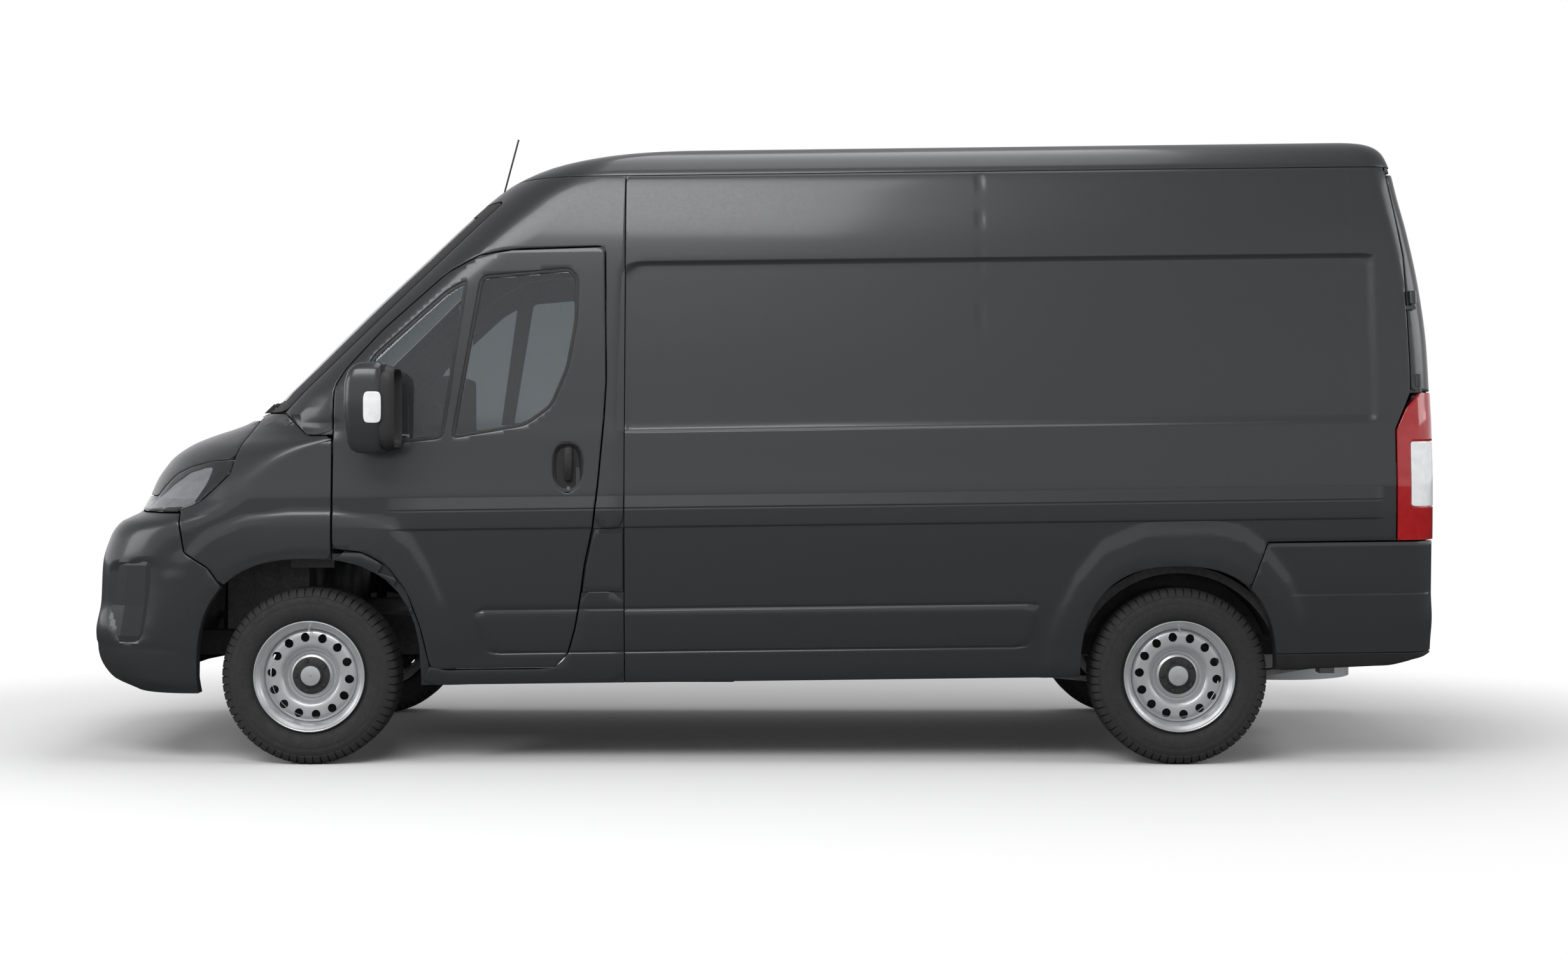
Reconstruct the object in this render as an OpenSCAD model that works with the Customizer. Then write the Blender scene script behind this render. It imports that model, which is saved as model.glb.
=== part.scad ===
/* [Overall] */
// Distance between the axles
wheelbase = 3450; // [3300:10:3600]
// Nose to the rear face, both bumpers included
length = 5413; // [5300:1:5520]
// Ground to the top of the roof at the front axle
roof_height = 2471; // [2400:1:2560]
// Width over the body sides, mirrors folded away
body_w = 2050; // [1960:10:2120]
// Distance from the nose to the front axle
front_overhang = 948; // [920:1:980]
// Rise of every body line towards the rear, per mm of length
rake = 0.01204; // [0:0.001:0.02]
// Height of the load floor at the front axle
floor_z = 560; // [520:5:620]

/* [Walls and gaps] */
// Thickness of the side walls and the rear doors
wall = 58; // [50:1:66]
// Thickness of the cab doors
door_t = 78; // [70:1:90]
// Thickness of the roof skin with its bows
roof_t = 42; // [35:1:50]
// Thickness of bonnet, wings and bumpers
skin_t = 30; // [24:1:36]
// Shut line around a piece that moves
shut = 6; // [5:0.5:7]
// Seam between two fixed panels
seam = 3; // [2:0.5:4]
// Gap at a seat that carries a piece
seat_gap = 0.3; // [0.2:0.05:0.4]
// Thickness of window glass
glass_t = 5; // [4:0.5:6]

/* [Wheels] */
// Outer diameter of a tyre
tyre_d = 700; // [680:2:716]
// Width of a tyre
tyre_w = 215; // [195:5:225]
// Diameter of the rim's outer flange
rim_d = 442; // [430:1:450]
// Distance between the middles of the tyres on an axle
track = 1756; // [1720:2:1776]
// Ventilation holes in a wheel disc
vent_count = 14; // [10:1:16]
// Diameter of a ventilation hole
vent_d = 37; // [28:1:40]
// Circle on which the ventilation holes lie
vent_ring_d = 308; // [296:1:312]
// Radius of a hub spindle
spindle_r = 32; // [28:1:36]
// Wheel bolts
bolt_count = 5; // [4:1:6]
// Circle of the wheel bolts
bolt_pcd = 160; // [150:1:165]

/* [Doors and openings] */
// Rear edge of the cab doors
cab_door_rear_x = -579; // [-600:1:-560]
// Height of the side waist line at the front axle
waist_z = 1060; // [1020:5:1100]
// Radius of a hinge pin
pin_r = 7; // [6:0.5:8]
// Clearance around a hinge pin
pin_gap = 0.4; // [0.3:0.05:0.6]
// Height of the sill's lower edge at the front axle
sill_z = 310; // [290:2:330]
// Radius of the front wheel arches
front_arch_r = 443; // [436:1:452]
// Radius of the rear wheel arches
rear_arch_r = 388; // [384:1:396]

/* [Cab] */
// Diameter of the steering wheel
steering_wheel_d = 400; // [370:5:420]
// Width of the driver's seat
seat_w = 470; // [440:5:500]
// Top of the seat cushions above the cab floor
seat_height = 330; // [300:5:360]

/* [Hidden] */
$fn = 32;
front_x = -length / 2;
axle_front = front_x + front_overhang;
axle_rear = axle_front + wheelbase;
tyre_r = tyre_d / 2;
half_w = body_w / 2;
rear_x = length / 2;
lean = atan(rake);
roof_fit = roof_height - 2471;
waist_fit = waist_z - 1060;

// Plan levels of the body: height, half width left off the full width, nose tip and its
// depth, two roundness powers, and how far the tail stands before the rear face
LEVELS = [
    [290, 62, 140, 400, 2.2, 4, 40],
    [345, 42, 52, 420, 2.4, 4.6, 6],
    [430, 32, 11, 430, 2.5, 5, 4],
    [520, 22, 0, 430, 2.5, 5, 0],
    [640, 13, 22, 430, 2.5, 5, 6],
    [800, 5, 32, 430, 2.5, 5, 6],
    [905, 1, 64, 430, 2.5, 5, 6],
    [960, 0, 92, 440, 2.4, 4.4, 6],
    [1000, 0, 140, 480, 2.2, 3, 6],
    [1060, 0, 152, 560, 2, 2.6, 6],
    [1130, 6, 170, 600, 1.9, 2.4, 6],
    [1200, 11, 206, 640, 1.8, 2.2, 6],
    [1266, 15, 290, 680, 1.8, 2.2, 6],
    [1305, 18, 380, 740, 1.8, 2.2, 6],
    [1340, 22, 495, 640, 1.8, 2.2, 7],
    [1400, 27, 650, 480, 2.4, 2.4, 9],
    [1500, 34, 768, 455, 3, 2.4, 12],
    [1610, 42, 880, 455, 3, 2.4, 17],
    [1820, 60, 1093, 455, 3, 2.4, 40],
    [2060, 84, 1350, 460, 3, 2.4, 84],
    [2200, 108, 1500, 460, 3, 2.4, 116],
    [2330, 140, 1660, 450, 2.8, 2.4, 142],
    [2390, 176, 1785, 440, 2.6, 2.4, 162],
    [2420, 222, 1880, 460, 2.4, 2.4, 182],
    [2441, 290, 1965, 480, 2.2, 2.4, 212],
    [2455, 410, 2060, 500, 2, 2.2, 266],
    [2465, 610, 2190, 520, 2, 2.2, 366],
    [2471, 860, 2390, 560, 2, 2, 560]
];

// Height of a level once the waist or the roof is moved
function level_z(k) =
    let (z = LEVELS[k][0])
    z <= 960 ? z : z <= 1400 ? z + waist_fit * (1400 - z) / 440
    : z + roof_fit * (z - 1400) / 1071;
// Half width of a level
function level_w(k) = half_w - LEVELS[k][1];
function level_nose(k) = front_x + LEVELS[k][2];
function level_tail(k) = rear_x - LEVELS[k][6];

// Plan outline of one level, moved inwards by t, as a rounded nose, straight sides and
// rounded rear corners
function nose_x(k, u, t) =
    level_nose(k) + t + (LEVELS[k][3]) * (1 - pow(max(0, 1 - pow(u, LEVELS[k][5])),
    1 / LEVELS[k][4]));
function nose_steps() = [0, 0.3, 0.55, 0.74, 0.87, 0.95, 0.985, 1];
function corner_r(k) = min(110, level_w(k) * 0.6);
function half_plan(k, t) =
    let (w = level_w(k) - t, r = max(20, corner_r(k) - t), xr = level_tail(k) - t)
    concat(
        [for (u = nose_steps()) [nose_x(k, u, t), -u * w]],
        [for (a = [0:30:90]) [xr - r + r * sin(a), -w + r - r * cos(a)]]
    );
function flip_y(p) = [for (i = [len(p) - 1:-1:0]) [p[i][0], -p[i][1]]];
function plan(k, t) = concat(half_plan(k, t), flip_y(half_plan(k, t)));

// Lays a thing drawn level at the front axle along the raked body lines
module raked()
{
    multmatrix([[1, 0, 0, 0], [0, 1, 0, 0], [rake, 0, 1, -rake * axle_front], [0, 0, 0, 1]])
    children();
}

// The plan outline of one level as points in space; inner forms sink under the roof
function ring(k, t) = [for (q = plan(k, t)) [q[0], q[1], level_z(k) - (t > 0 && k > 20 ? t : 0)]];

// The slice of the body between a level and the next one
module slice(k, t)
{
    n = len(plan(k, t));
    polyhedron(
        points = concat(ring(k, t), ring(k + 1, t)),
        faces = concat(
            [[for (i = [0:n - 1]) i]],
            [[for (i = [n - 1:-1:0]) n + i]],
            [for (i = [0:n - 1]) [i, n + i, n + (i + 1) % n, (i + 1) % n]]
        )
    );
}

// The closed outer form of the body, moved inwards by t, between two levels
module form(t = 0, from = 0, to = len(LEVELS) - 1)
{
    raked()
    for (k = [from:to - 1])
        hull() slice(k, t);
}

// The body's skin with thickness t, between two levels
module skin(t, from = 0, to = len(LEVELS) - 1)
{
    difference() {
        form(0, from, to);
        form(t, max(0, from - 1), min(len(LEVELS) - 1, to + 1));
    }
}

// Cutter that takes the outer depth t off the body between two levels
module peel(t, from, to)
{
    difference() {
        form(-4, from, to);
        form(t, max(0, from - 1), min(len(LEVELS) - 1, to + 1));
    }
}

// A side outline in x and z, swept across y from one side distance to another
module side_prism(outline, y0, y1)
{
    translate([0, max(y0, y1), 0]) rotate([90, 0, 0])
    linear_extrude(abs(y1 - y0)) polygon(outline);
}

// A round in x and z, swept across y
module side_round(x, z, r, y0, y1)
{
    translate([x, max(y0, y1), z]) rotate([90, 0, 0])
    cylinder(r = r, h = abs(y1 - y0), $fn = 48);
}

// Mirrors its children to the given side, -1 for left and 1 for right
module on_side(s)
{
    mirror([0, s > 0 ? 1 : 0, 0]) children();
}

// Height on a body line at place x
function up(z, x) = z + rake * (x - axle_front);
// Points of an outline drawn level, laid along the rake
function laid(p) = [for (q = p) [q[0], up(q[1], q[0])]];

// Places along and across the body that several pieces share
b_x = cab_door_rear_x + 72;
d_x = rear_x - 350;
gap_x = rear_x - 106;
gutter_z = 2330 + roof_fit;
sill_y = half_w - 92;
lamp_y = half_w - 160;
door_sill_z = 548;
firewall_x = axle_front - 60;
far = 1400;
post_y = half_w - 230;
rail_y = 490;
post_z = 840;
kingpin_y = track / 2 - 138;
hinge_x = axle_front + 118;
hinge_y = half_w - 40;

// Side outlines of the panels, drawn along the raked body lines
DOOR = laid([
    [axle_front + 100, 857], [axle_front + 100, 1496], [axle_front + 142, 1567],
    [axle_front + 286, 1722], [axle_front + 543, 1948], [axle_front + 672, 2015],
    [axle_front + 800, 2036], [cab_door_rear_x - 7, 2044], [cab_door_rear_x, 1508],
    [cab_door_rear_x - 9, 1355], [cab_door_rear_x - 32, 1098], [cab_door_rear_x - 52, 929],
    [cab_door_rear_x - 85, 777], [cab_door_rear_x - 98, 677], [cab_door_rear_x - 122, 533],
    [cab_door_rear_x - 155, 421], [cab_door_rear_x - 203, 373], [axle_front + 484, 374],
    [axle_front + 445, 544], [axle_front + 394, 685], [axle_front + 317, 789],
    [axle_front + 227, 842]
]);
QUARTER = laid([
    [axle_front + 205, 1500], [axle_front + 250, 1616], [axle_front + 543, 1876],
    [axle_front + 630, 1922], [axle_front + 536, 1286], [axle_front + 310, 1266]
]);
DROP_GLASS = laid([
    [axle_front + 678, 1932], [cab_door_rear_x - 145, 1960], [cab_door_rear_x - 110, 1920],
    [cab_door_rear_x - 115, 1741], [cab_door_rear_x - 148, 1560],
    [cab_door_rear_x - 213, 1407], [cab_door_rear_x - 315, 1334], [axle_front + 566, 1285]
]);
LAMP = laid([
    [front_x - 100, 1008], [front_x - 100, 1066], [front_x + 290, 1066],
    [front_x + 338, 1120], [front_x + 375, 1154], [front_x + 447, 1184],
    [front_x + 546, 1206], [front_x + 649, 1214], [front_x + 638, 1158],
    [front_x + 569, 1092], [front_x + 523, 1050], [front_x + 465, 1026],
    [front_x + 430, 1014], [front_x + 420, 1008]
]);
BONNET = laid([
    [front_x - 100, 1066], [front_x + 290, 1066], [front_x + 338, 1120],
    [front_x + 375, 1154], [front_x + 447, 1184], [front_x + 546, 1206],
    [front_x + 649, 1214], [front_x + 666, 1290], [front_x + 688, 1372],
    [front_x - 100, 1372]
]);
WING = laid([
    [front_x + 649, 1214], [front_x + 666, 1290], [front_x + 688, 1372],
    [front_x + 694, 1398], [axle_front - 112, 1394], [axle_front - 10, 1306],
    [axle_front + 97, 1304], [axle_front + 97, 780], [axle_front, 703],
    [front_x + 621, 703], [front_x + 561, 789], [front_x + 465, 850], [front_x + 440, 1008],
    [front_x + 430, 1014], [front_x + 465, 1026], [front_x + 523, 1050],
    [front_x + 569, 1092], [front_x + 638, 1158]
]);
BUMPER = laid([
    [front_x - 100, 280], [front_x - 100, 1004], [front_x + 437, 1004],
    [front_x + 463, 848], [front_x + 560, 786], [front_x + 620, 700], [axle_front, 700],
    [axle_front, 280]
]);
SCREEN = laid([
    [front_x - 100, 1400], [axle_front - 120, 1400], [axle_front + 755, 2242],
    [front_x - 100, 2242]
]);
CAB = laid([
    [axle_front - 114, 1396], [axle_front - 11, 1308], [axle_front + 99, 1306],
    [axle_front + 99, 780], [axle_front + 330, 640], [axle_front + 400, sill_z],
    [b_x, sill_z], [b_x, 2330], [front_x, 2330], [front_x, 1384], [front_x + 692, 1384],
    [front_x + 697, 1401]
]);
SIDE = laid([
    [b_x, sill_z], [rear_x - 765, sill_z], [rear_x - 765, 600], [rear_x - 674, 840],
    [gap_x - 62, 840], [gap_x - 62, 1280], [gap_x - 22, 1370], [gap_x, 1424],
    [gap_x, 1500], [gap_x - 16, 1964], [gap_x - 74, 2330], [b_x, 2330]
]);
TAIL_LAMP = laid([
    [gap_x - 59, 840], [gap_x - 59, 1278], [gap_x - 19, 1362], [gap_x + 36, 1424],
    [rear_x + 100, 1424], [rear_x + 100, 840]
]);
REAR_BUMPER = laid([
    [rear_x - 765, sill_z + 30], [rear_x - 765, 600], [rear_x - 674, 837],
    [rear_x + 100, 837], [rear_x + 100, 415], [rear_x - 180, 345], [rear_x - 640, 330]
]);
RECESS = laid([
    [b_x - 12, 1300], [d_x - 1, 1300], [gap_x - 133, 1306], [gap_x - 140, 1975],
    [gap_x - 175, 1982], [b_x + 40, 1984], [b_x - 20, 1944]
]);
FLAP = laid([
    [b_x - 5, 676], [b_x - 5, 926], [cab_door_rear_x - 46, 924],
    [cab_door_rear_x - 78, 777], [cab_door_rear_x - 92, 676]
]);

// Wheel arch opening as a rounded outline around an axle
module arch_shape(xc, r, flat)
{
    translate([xc, tyre_r])
    polygon([for (a = [-20:10:200])
        [r * sign(cos(a)) * pow(abs(cos(a)), 0.8),
        r * flat * sign(sin(a)) * pow(abs(sin(a)), 0.76)]]);
}

module front_arch(y0, y1, grow = 0)
{
    translate([0, max(y0, y1), 0]) rotate([90, 0, 0]) linear_extrude(abs(y1 - y0))
    offset(delta = grow) arch_shape(axle_front + 3, front_arch_r, 1.06);
}

module rear_arch(y0, y1, grow = 0)
{
    translate([0, max(y0, y1), 0]) rotate([90, 0, 0]) linear_extrude(abs(y1 - y0))
    offset(delta = grow) arch_shape(axle_rear - 8, rear_arch_r, 1.134);
}

// A side outline grown by g and swept across y
module grown_prism(outline, g, y0, y1)
{
    translate([0, max(y0, y1), 0]) rotate([90, 0, 0])
    linear_extrude(abs(y1 - y0)) offset(delta = g) polygon(outline);
}

// A box from its low corner to its high corner
module span_box(a, b)
{
    translate(a) cube(b - a);
}

// Both left and right copies of what is drawn on the left
module both_sides()
{
    children();
    mirror([0, 1, 0]) children();
}

// Load space floor on its rails, with the wheel boxes over the rear wheels
module underbody()
{
    color("dimgray") {
        span_box([axle_front + 470, -sill_y + seat_gap, floor_z - 60],
            [rear_x - 80, sill_y - seat_gap, floor_z]);
        span_box([firewall_x - 20, -rail_y - 70, floor_z - 60],
            [axle_front + 470, rail_y + 70, floor_z]);
        span_box([firewall_x - 20, -rail_y - 70, floor_z], [firewall_x + 40, rail_y + 70, 780]);
        both_sides()
        span_box([axle_front - 640, -rail_y - 70, 400], [rear_x - 90, -rail_y, floor_z - 60]);
        span_box([firewall_x - 20, -sill_y + seat_gap, 780],
            [axle_front + 93, sill_y - seat_gap, post_z]);
        span_box([firewall_x - 20, -sill_y + seat_gap, post_z],
            [firewall_x + 40, sill_y - seat_gap, 1240]);
        for (x = [axle_front + 790, axle_front + 1890, axle_rear + 760])
            span_box([x, -sill_y + seat_gap, floor_z - 110],
                [x + 80, sill_y - seat_gap, floor_z - 60]);
        both_sides() {
            wheel_box();
            for (x = jack_pads)
                span_box([x - 45, -rail_y - 65, jack_z], [x + 45, -rail_y - 5, 400 + skin_t]);
        }
    }
}

// Places and lower face of the pads under the rails where a jack lifts the van
jack_pads = [axle_front + 940, axle_rear - 1000];
jack_z = 388;

// Half-round cover over a rear wheel, standing on the load floor
module wheel_box()
{
    intersection() {
        difference() {
            side_round(axle_rear, tyre_r, rear_arch_r + 52, -sill_y + seat_gap, -690);
            side_round(axle_rear, tyre_r, rear_arch_r + 20, -sill_y - 9, -720);
        }
        span_box([axle_rear - 900, -1000, floor_z], [axle_rear + 900, 0, 1000]);
    }
}

// The load floor with the rear wheel housings cut free
module floor_pan()
{
    difference() {
        underbody();
        both_sides() {
            side_round(axle_rear, tyre_r, rear_arch_r + 20, -sill_y - 90, -720);
            span_box([axle_front + 94, -half_w, floor_z - 115],
                [cab_door_rear_x - 90, -half_w + door_t + 60, floor_z + 5]);
            span_box([rear_x - 260, -half_w, floor_z - 115],
                [rear_x, -half_w + 2 * wall + 20, floor_z + 5]);
        }
    }
}

// Lining beam along the sill and the roof edge that the floor meets
module sill_beam(s)
{
    intersection() {
        form(2, 1, 6);
        on_side(s) span_box([axle_front + 440, -half_w, floor_z - 150],
            [rear_x - 100, -sill_y, floor_z]);
    }
}

// One fixed side of the load space, drawn for the left and mirrored for the right
module side_panel(s)
{
    difference() {
        intersection() {
            union() {
                skin(wall, 0, 22);
                sill_beam(s);
            }
            grown_prism(SIDE, -seam / 2, s * post_y, s * far);
        }
        rear_arch(0, s * far);
        intersection() {
            grown_prism(RECESS, 0, 0, s * far);
            peel(9, 12, 21);
        }
        side_grooves(s);
    }
}

// Two sunk lines of the waist and the rub strip's edge along a side
module side_grooves(s)
{
    for (z = [waist_z + 2, waist_z - 112])
        intersection() {
            peel(5, 5, 12);
            side_prism(laid([[axle_front + 300, z], [rear_x - 230, z],
                [rear_x - 230, z + 9], [axle_front + 300, z + 9]]), 0, s * far);
        }
}

module body_side_left()
{
    color("dimgray") side_panel(-1);
    color("black") rear_pins();
}

// Opening for the sliding door in the right side
SLIDE = laid([
    [b_x + 45, sill_z + 62], [b_x + 45, 2290], [b_x + 1210, 2290],
    [b_x + 1250, 2240], [b_x + 1250, 900], [b_x + 1210, sill_z + 62]
]);

module body_side_right()
{
    color("dimgray")
    difference() {
        side_panel(1);
        grown_prism(SLIDE, shut / 2, 0, far);
    }
    color("black") mirror([0, 1, 0]) rear_pins();
}

module sliding_door()
{
    color("dimgray")
    difference() {
        intersection() {
            skin(wall, 0, 22);
            grown_prism(SLIDE, -shut / 2, 0, far);
        }
        side_grooves(1);
        intersection() {
            grown_prism(RECESS, 0, 0, far);
            peel(9, 12, 21);
        }
        side_round(b_x + 90, up(1180, b_x), 48, half_w - 60, far);
    }
    color("black") slide_handle();
    color("dimgray") slide_feet();
}

// Pull handle of the sliding door in its pocket
module slide_handle()
{
    intersection() {
        skin(36, 10, 14);
        side_prism(laid([[b_x + 78, 1100], [b_x + 102, 1100], [b_x + 102, 1260],
            [b_x + 78, 1260]]), 0, far);
    }
}

// Roller feet on which the sliding door hangs in its opening
module slide_feet()
{
    for (x = [b_x + 90, b_x + 1120])
        span_box([x, half_w - 70, up(sill_z + 62 - shut / 2, x + 30) + seat_gap],
            [x + 30, half_w - 44, up(sill_z + 100, x)]);
}

// The roof from its gutters up, with the header over the rear doors
module roof()
{
    color("dimgray") {
        difference() {
            form(0, 21, 27);
            form(roof_t, 20, 27);
        }
        intersection() {
            skin(wall, 20, 22);
            union() {
                side_prism(laid([[rear_x - 230, 2312], [rear_x, 2312], [rear_x, 2340],
                    [rear_x - 230, 2340]]), -post_y + 1, post_y - 1);
                side_prism(laid([[gap_x - 66, 2312], [rear_x, 2312], [rear_x, 2340],
                    [gap_x - 66, 2340]]), -far, far);
            }
        }
    }
}

// Rod aerial on its foot above the middle of the windscreen
module aerial()
{
    translate([axle_front + 634, 0, gutter_z - 66]) rotate([0, 15, 0]) {
        cylinder(r1 = 24, r2 = 11, h = 44);
        cylinder(r = 4, h = 345, $fn = 13);
    }
}

// Pillars, sills and front header of the cab
module cab_frame()
{
    color("dimgray")
    difference() {
        union() {
            intersection() {
                skin(wall, 0, 22);
                grown_prism(CAB, -seam / 2, -far, far);
            }
            intersection() {
                form(2, 1, 6);
                both_sides()
                span_box([axle_front + 440, -half_w, floor_z - 150],
                    [b_x - 2, -sill_y, floor_z - 4]);
            }
            both_sides() hinge_post();
            plenum();
        }
        grown_prism(DOOR, shut / 2, -far, far);
        grown_prism(SCREEN, 1, -far, far);
        front_arch(-far, far, 0);
        both_sides() hinge_sweep();
        intersection() {
            peel(18, 4, 10);
            grown_prism(FLAP, 3, 0, -far);
        }
    }
    color("black") {
        aerial();
        flap_pin(1.6, 676 - 8, 926 + 8);
        both_sides() {
            hinge_pins();
            bonnet_pins();
        }
    }
}

// Air box under the cowl, resting on the firewall
module plenum()
{
    span_box([firewall_x - 195, -600, 1240 + seat_gap], [firewall_x + 40, 600, 1290]);
    intersection() {
        form(3, 12, 17);
        span_box([firewall_x - 195, -600, 1240 + seat_gap], [firewall_x - 175, 600, 1396]);
    }
}

// Post behind the wing that carries the cab door's hinges
module hinge_post()
{
    intersection() {
        form(wall + 4, 4, 15);
        span_box([firewall_x + 40 + seat_gap, -half_w, post_z + seat_gap],
            [axle_front + 93, -sill_y + 60, 1300]);
    }
}

// Heights of a cab door's two hinges and of the knuckle around each pin
HINGES = [930, 1230];
leaf_t = 14;

// Pins and leaves of the cab door hinges, fixed to the hinge post
module hinge_pins()
{
    for (z = HINGES) {
        translate([hinge_x, -hinge_y, z - 26]) cylinder(r = pin_r, h = 66);
        span_box([axle_front + 60, -hinge_y + 5, z], [hinge_x, -hinge_y + 16, z + leaf_t]);
        span_box([axle_front + 60, -hinge_y + 5, z],
            [axle_front + 92, -sill_y + 30, z + leaf_t]);
    }
}

// Room that a cab door needs for its hinges, taken out of the door
module hinge_room()
{
    for (z = HINGES) {
        translate([hinge_x, -hinge_y, z - 30]) cylinder(r = pin_r + pin_gap, h = 74);
        translate([hinge_x, -hinge_y, z - 5]) cylinder(r = 50, h = leaf_t + 10);
    }
}

// Room that a cab door's front edge sweeps, taken out of the wing and the pillar
module hinge_sweep()
{
    translate([hinge_x, -hinge_y, 840]) cylinder(r = 47, h = 470);
}

module front_wings()
{
    color("dimgray")
    difference() {
        intersection() {
            skin(skin_t, 5, 16);
            both_sides() grown_prism(WING, -seam / 2, -far, -602);
        }
        front_arch(-far, far, 0);
        both_sides() {
            hinge_sweep();
            span_box([bonnet_hinge_x - 50, -bonnet_arm_y - 15, 1290],
                [bonnet_hinge_x + 19, -bonnet_arm_y + 24, 1420]);
        }
    }
}

module bonnet()
{
    color("dimgray") {
        intersection() {
            union() {
                skin(skin_t, 7, 13);
                skin(14, 12, 16);
            }
            grown_prism(BONNET, -shut / 2, -far, far);
            span_box([front_x, -far, 0], [front_x + 679, far, 2000]);
        }
        both_sides() bonnet_arm();
    }
}

bonnet_hinge_x = axle_front - 232;
bonnet_hinge_z = 1350;
bonnet_arm_y = 644;

// Arm from the bonnet back to its hinge pin
module bonnet_arm()
{
    difference() {
        union() {
            side_round(bonnet_hinge_x, bonnet_hinge_z, 12, -bonnet_arm_y - 6, -bonnet_arm_y + 6);
            side_prism([[bonnet_hinge_x - 130, bonnet_hinge_z - 64],
                [bonnet_hinge_x - 40, bonnet_hinge_z - 26], [bonnet_hinge_x, bonnet_hinge_z - 12],
                [bonnet_hinge_x, bonnet_hinge_z + 8], [bonnet_hinge_x - 40, bonnet_hinge_z - 4],
                [bonnet_hinge_x - 130, bonnet_hinge_z - 46]],
                -bonnet_arm_y - 6, -bonnet_arm_y + 6);
        }
        side_round(bonnet_hinge_x, bonnet_hinge_z, 6 + pin_gap,
            -bonnet_arm_y - 26, -bonnet_arm_y + 26);
    }
}

// Hinge pins of the bonnet on their post from the firewall
module bonnet_pins()
{
    side_round(bonnet_hinge_x, bonnet_hinge_z, 6, -bonnet_arm_y - 12, -bonnet_arm_y + 20);
    side_prism([[bonnet_hinge_x - 10, bonnet_hinge_z + 8],
        [bonnet_hinge_x - 10, bonnet_hinge_z - 30], [firewall_x - 20, 1150],
        [firewall_x - 20, 1235], [bonnet_hinge_x + 10, bonnet_hinge_z + 8]],
        -bonnet_arm_y + 12, -bonnet_arm_y + 20);
}

// Side outlines of the openings in the front bumper
INTAKE = laid([[front_x - 100, 347], [front_x - 100, 455], [front_x + 200, 455],
    [front_x + 200, 347]]);
UPPER_INTAKE = laid([[front_x - 100, 610], [front_x - 100, 803], [front_x + 200, 803],
    [front_x + 200, 610]]);
FOG = laid([[front_x + 40, 700], [front_x + 52, 803], [front_x + 190, 812],
    [front_x + 160, 700], [front_x + 140, 585], [front_x + 60, 585]]);

module front_bumper()
{
    color("dimgray") {
        difference() {
            intersection() {
                skin(skin_t + 10, 0, 9);
                grown_prism(BUMPER, -seam / 2, -far, far);
            }
            front_arch(-far, far, 0);
            side_prism(UPPER_INTAKE, -430, 430);
            side_prism(INTAKE, -600, 600);
            intersection() {
                peel(24, 4, 8);
                both_sides() side_prism(FOG, -far, -600);
            }
        }
        bumper_brackets();
    }
}

// Brackets that carry the bumper on the ends of the rails
module bumper_brackets()
{
    both_sides()
    span_box([front_x + 24, -rail_y - 66, 465],
        [axle_front - 640 - seat_gap, -rail_y - 4, 498]);
}

// Lower edge of the upper grille, seated on the bumper
grille_z = 1004 - seam / 2 + seat_gap;

module grille()
{
    color("black") {
        intersection() {
            translate([5, 0, 0]) skin(14, 2, 11);
            union() {
                for (z = [622:26:780])
                    span_box([front_x - 50, -430 + seat_gap, z - 12],
                        [front_x + 300, 430 - seat_gap, z - 3]);
                for (y = [-420, -210, 0, 210, 420])
                    span_box([front_x - 50, y - 5, 606], [front_x + 300, y + 5, 784]);
            }
        }
        intersection() {
            skin(24, 7, 11);
            difference() {
                side_prism(laid([[front_x - 100, grille_z], [front_x - 100, 1062],
                    [front_x + 300, 1062], [front_x + 300, grille_z]]), -540, 540);
                for (k = [0:1])
                    translate([0, 0, up(1018 + 24 * k, front_x)])
                    span_box([front_x - 90, -520, 0], [front_x + 300, 520, 14]);
            }
        }
    }
}

module headlamps()
{
    color("gainsboro") {
        intersection() {
            skin(85, 7, 13);
            both_sides() grown_prism(LAMP, -seam / 2, -far, -543);
        }
        intersection() {
            difference() {
                form(skin_t + seat_gap, 7, 13);
                form(60, 6, 14);
            }
            both_sides()
            side_prism(laid([[front_x + 480, 1020], [front_x + 570, 1020],
                [front_x + 610, 1110], [front_x + 540, 1110]]), -far, -600);
        }
    }
}

module windscreen()
{
    color("lightsteelblue")
    intersection() {
        skin(glass_t + 7, 14, 22);
        grown_prism(SCREEN, 1 - seat_gap, -far, far);
    }
}

// Window openings of a cab door
module door_windows(g, y0, y1)
{
    grown_prism(QUARTER, g, y0, y1);
    grown_prism(DROP_GLASS, g, y0, y1);
}

module cab_door()
{
    difference() {
        intersection() {
            skin(door_t, 0, 21);
            grown_prism(DOOR, -shut / 2, -far, -400);
        }
        door_windows(0, -far, far);
        hinge_room();
        handle_pocket();
        door_hollow();
        side_grooves(-1);
    }
}

// Trim side of the door, hollowed above the armrest
module door_hollow()
{
    intersection() {
        difference() {
            form(door_t - 26, 5, 13);
            form(door_t + 3, 4, 14);
        }
        side_prism(laid([[axle_front + 330, 900], [cab_door_rear_x - 120, 900],
            [cab_door_rear_x - 100, 1210], [axle_front + 330, 1210]]), -far, -400);
    }
}

// Oval recess for the pull handle, behind the door's skin
module handle_pocket()
{
    intersection() {
        peel(34, 8, 14);
        translate([0, -half_w + 80, 0]) rotate([90, 0, 0]) linear_extrude(120)
        hull() {
            for (z = [1132, 1222])
                translate([cab_door_rear_x - 150, up(z, cab_door_rear_x)]) circle(r = 52);
        }
    }
}

// Vertical grip of a door handle, standing in its pocket
module door_grip()
{
    intersection() {
        difference() {
            skin(36, 8, 15);
            skin(4, 8, 15);
        }
        side_prism(laid([[cab_door_rear_x - 118, 1085], [cab_door_rear_x - 96, 1085],
            [cab_door_rear_x - 96, 1268], [cab_door_rear_x - 118, 1268]]), -far, -400);
    }
}

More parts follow.
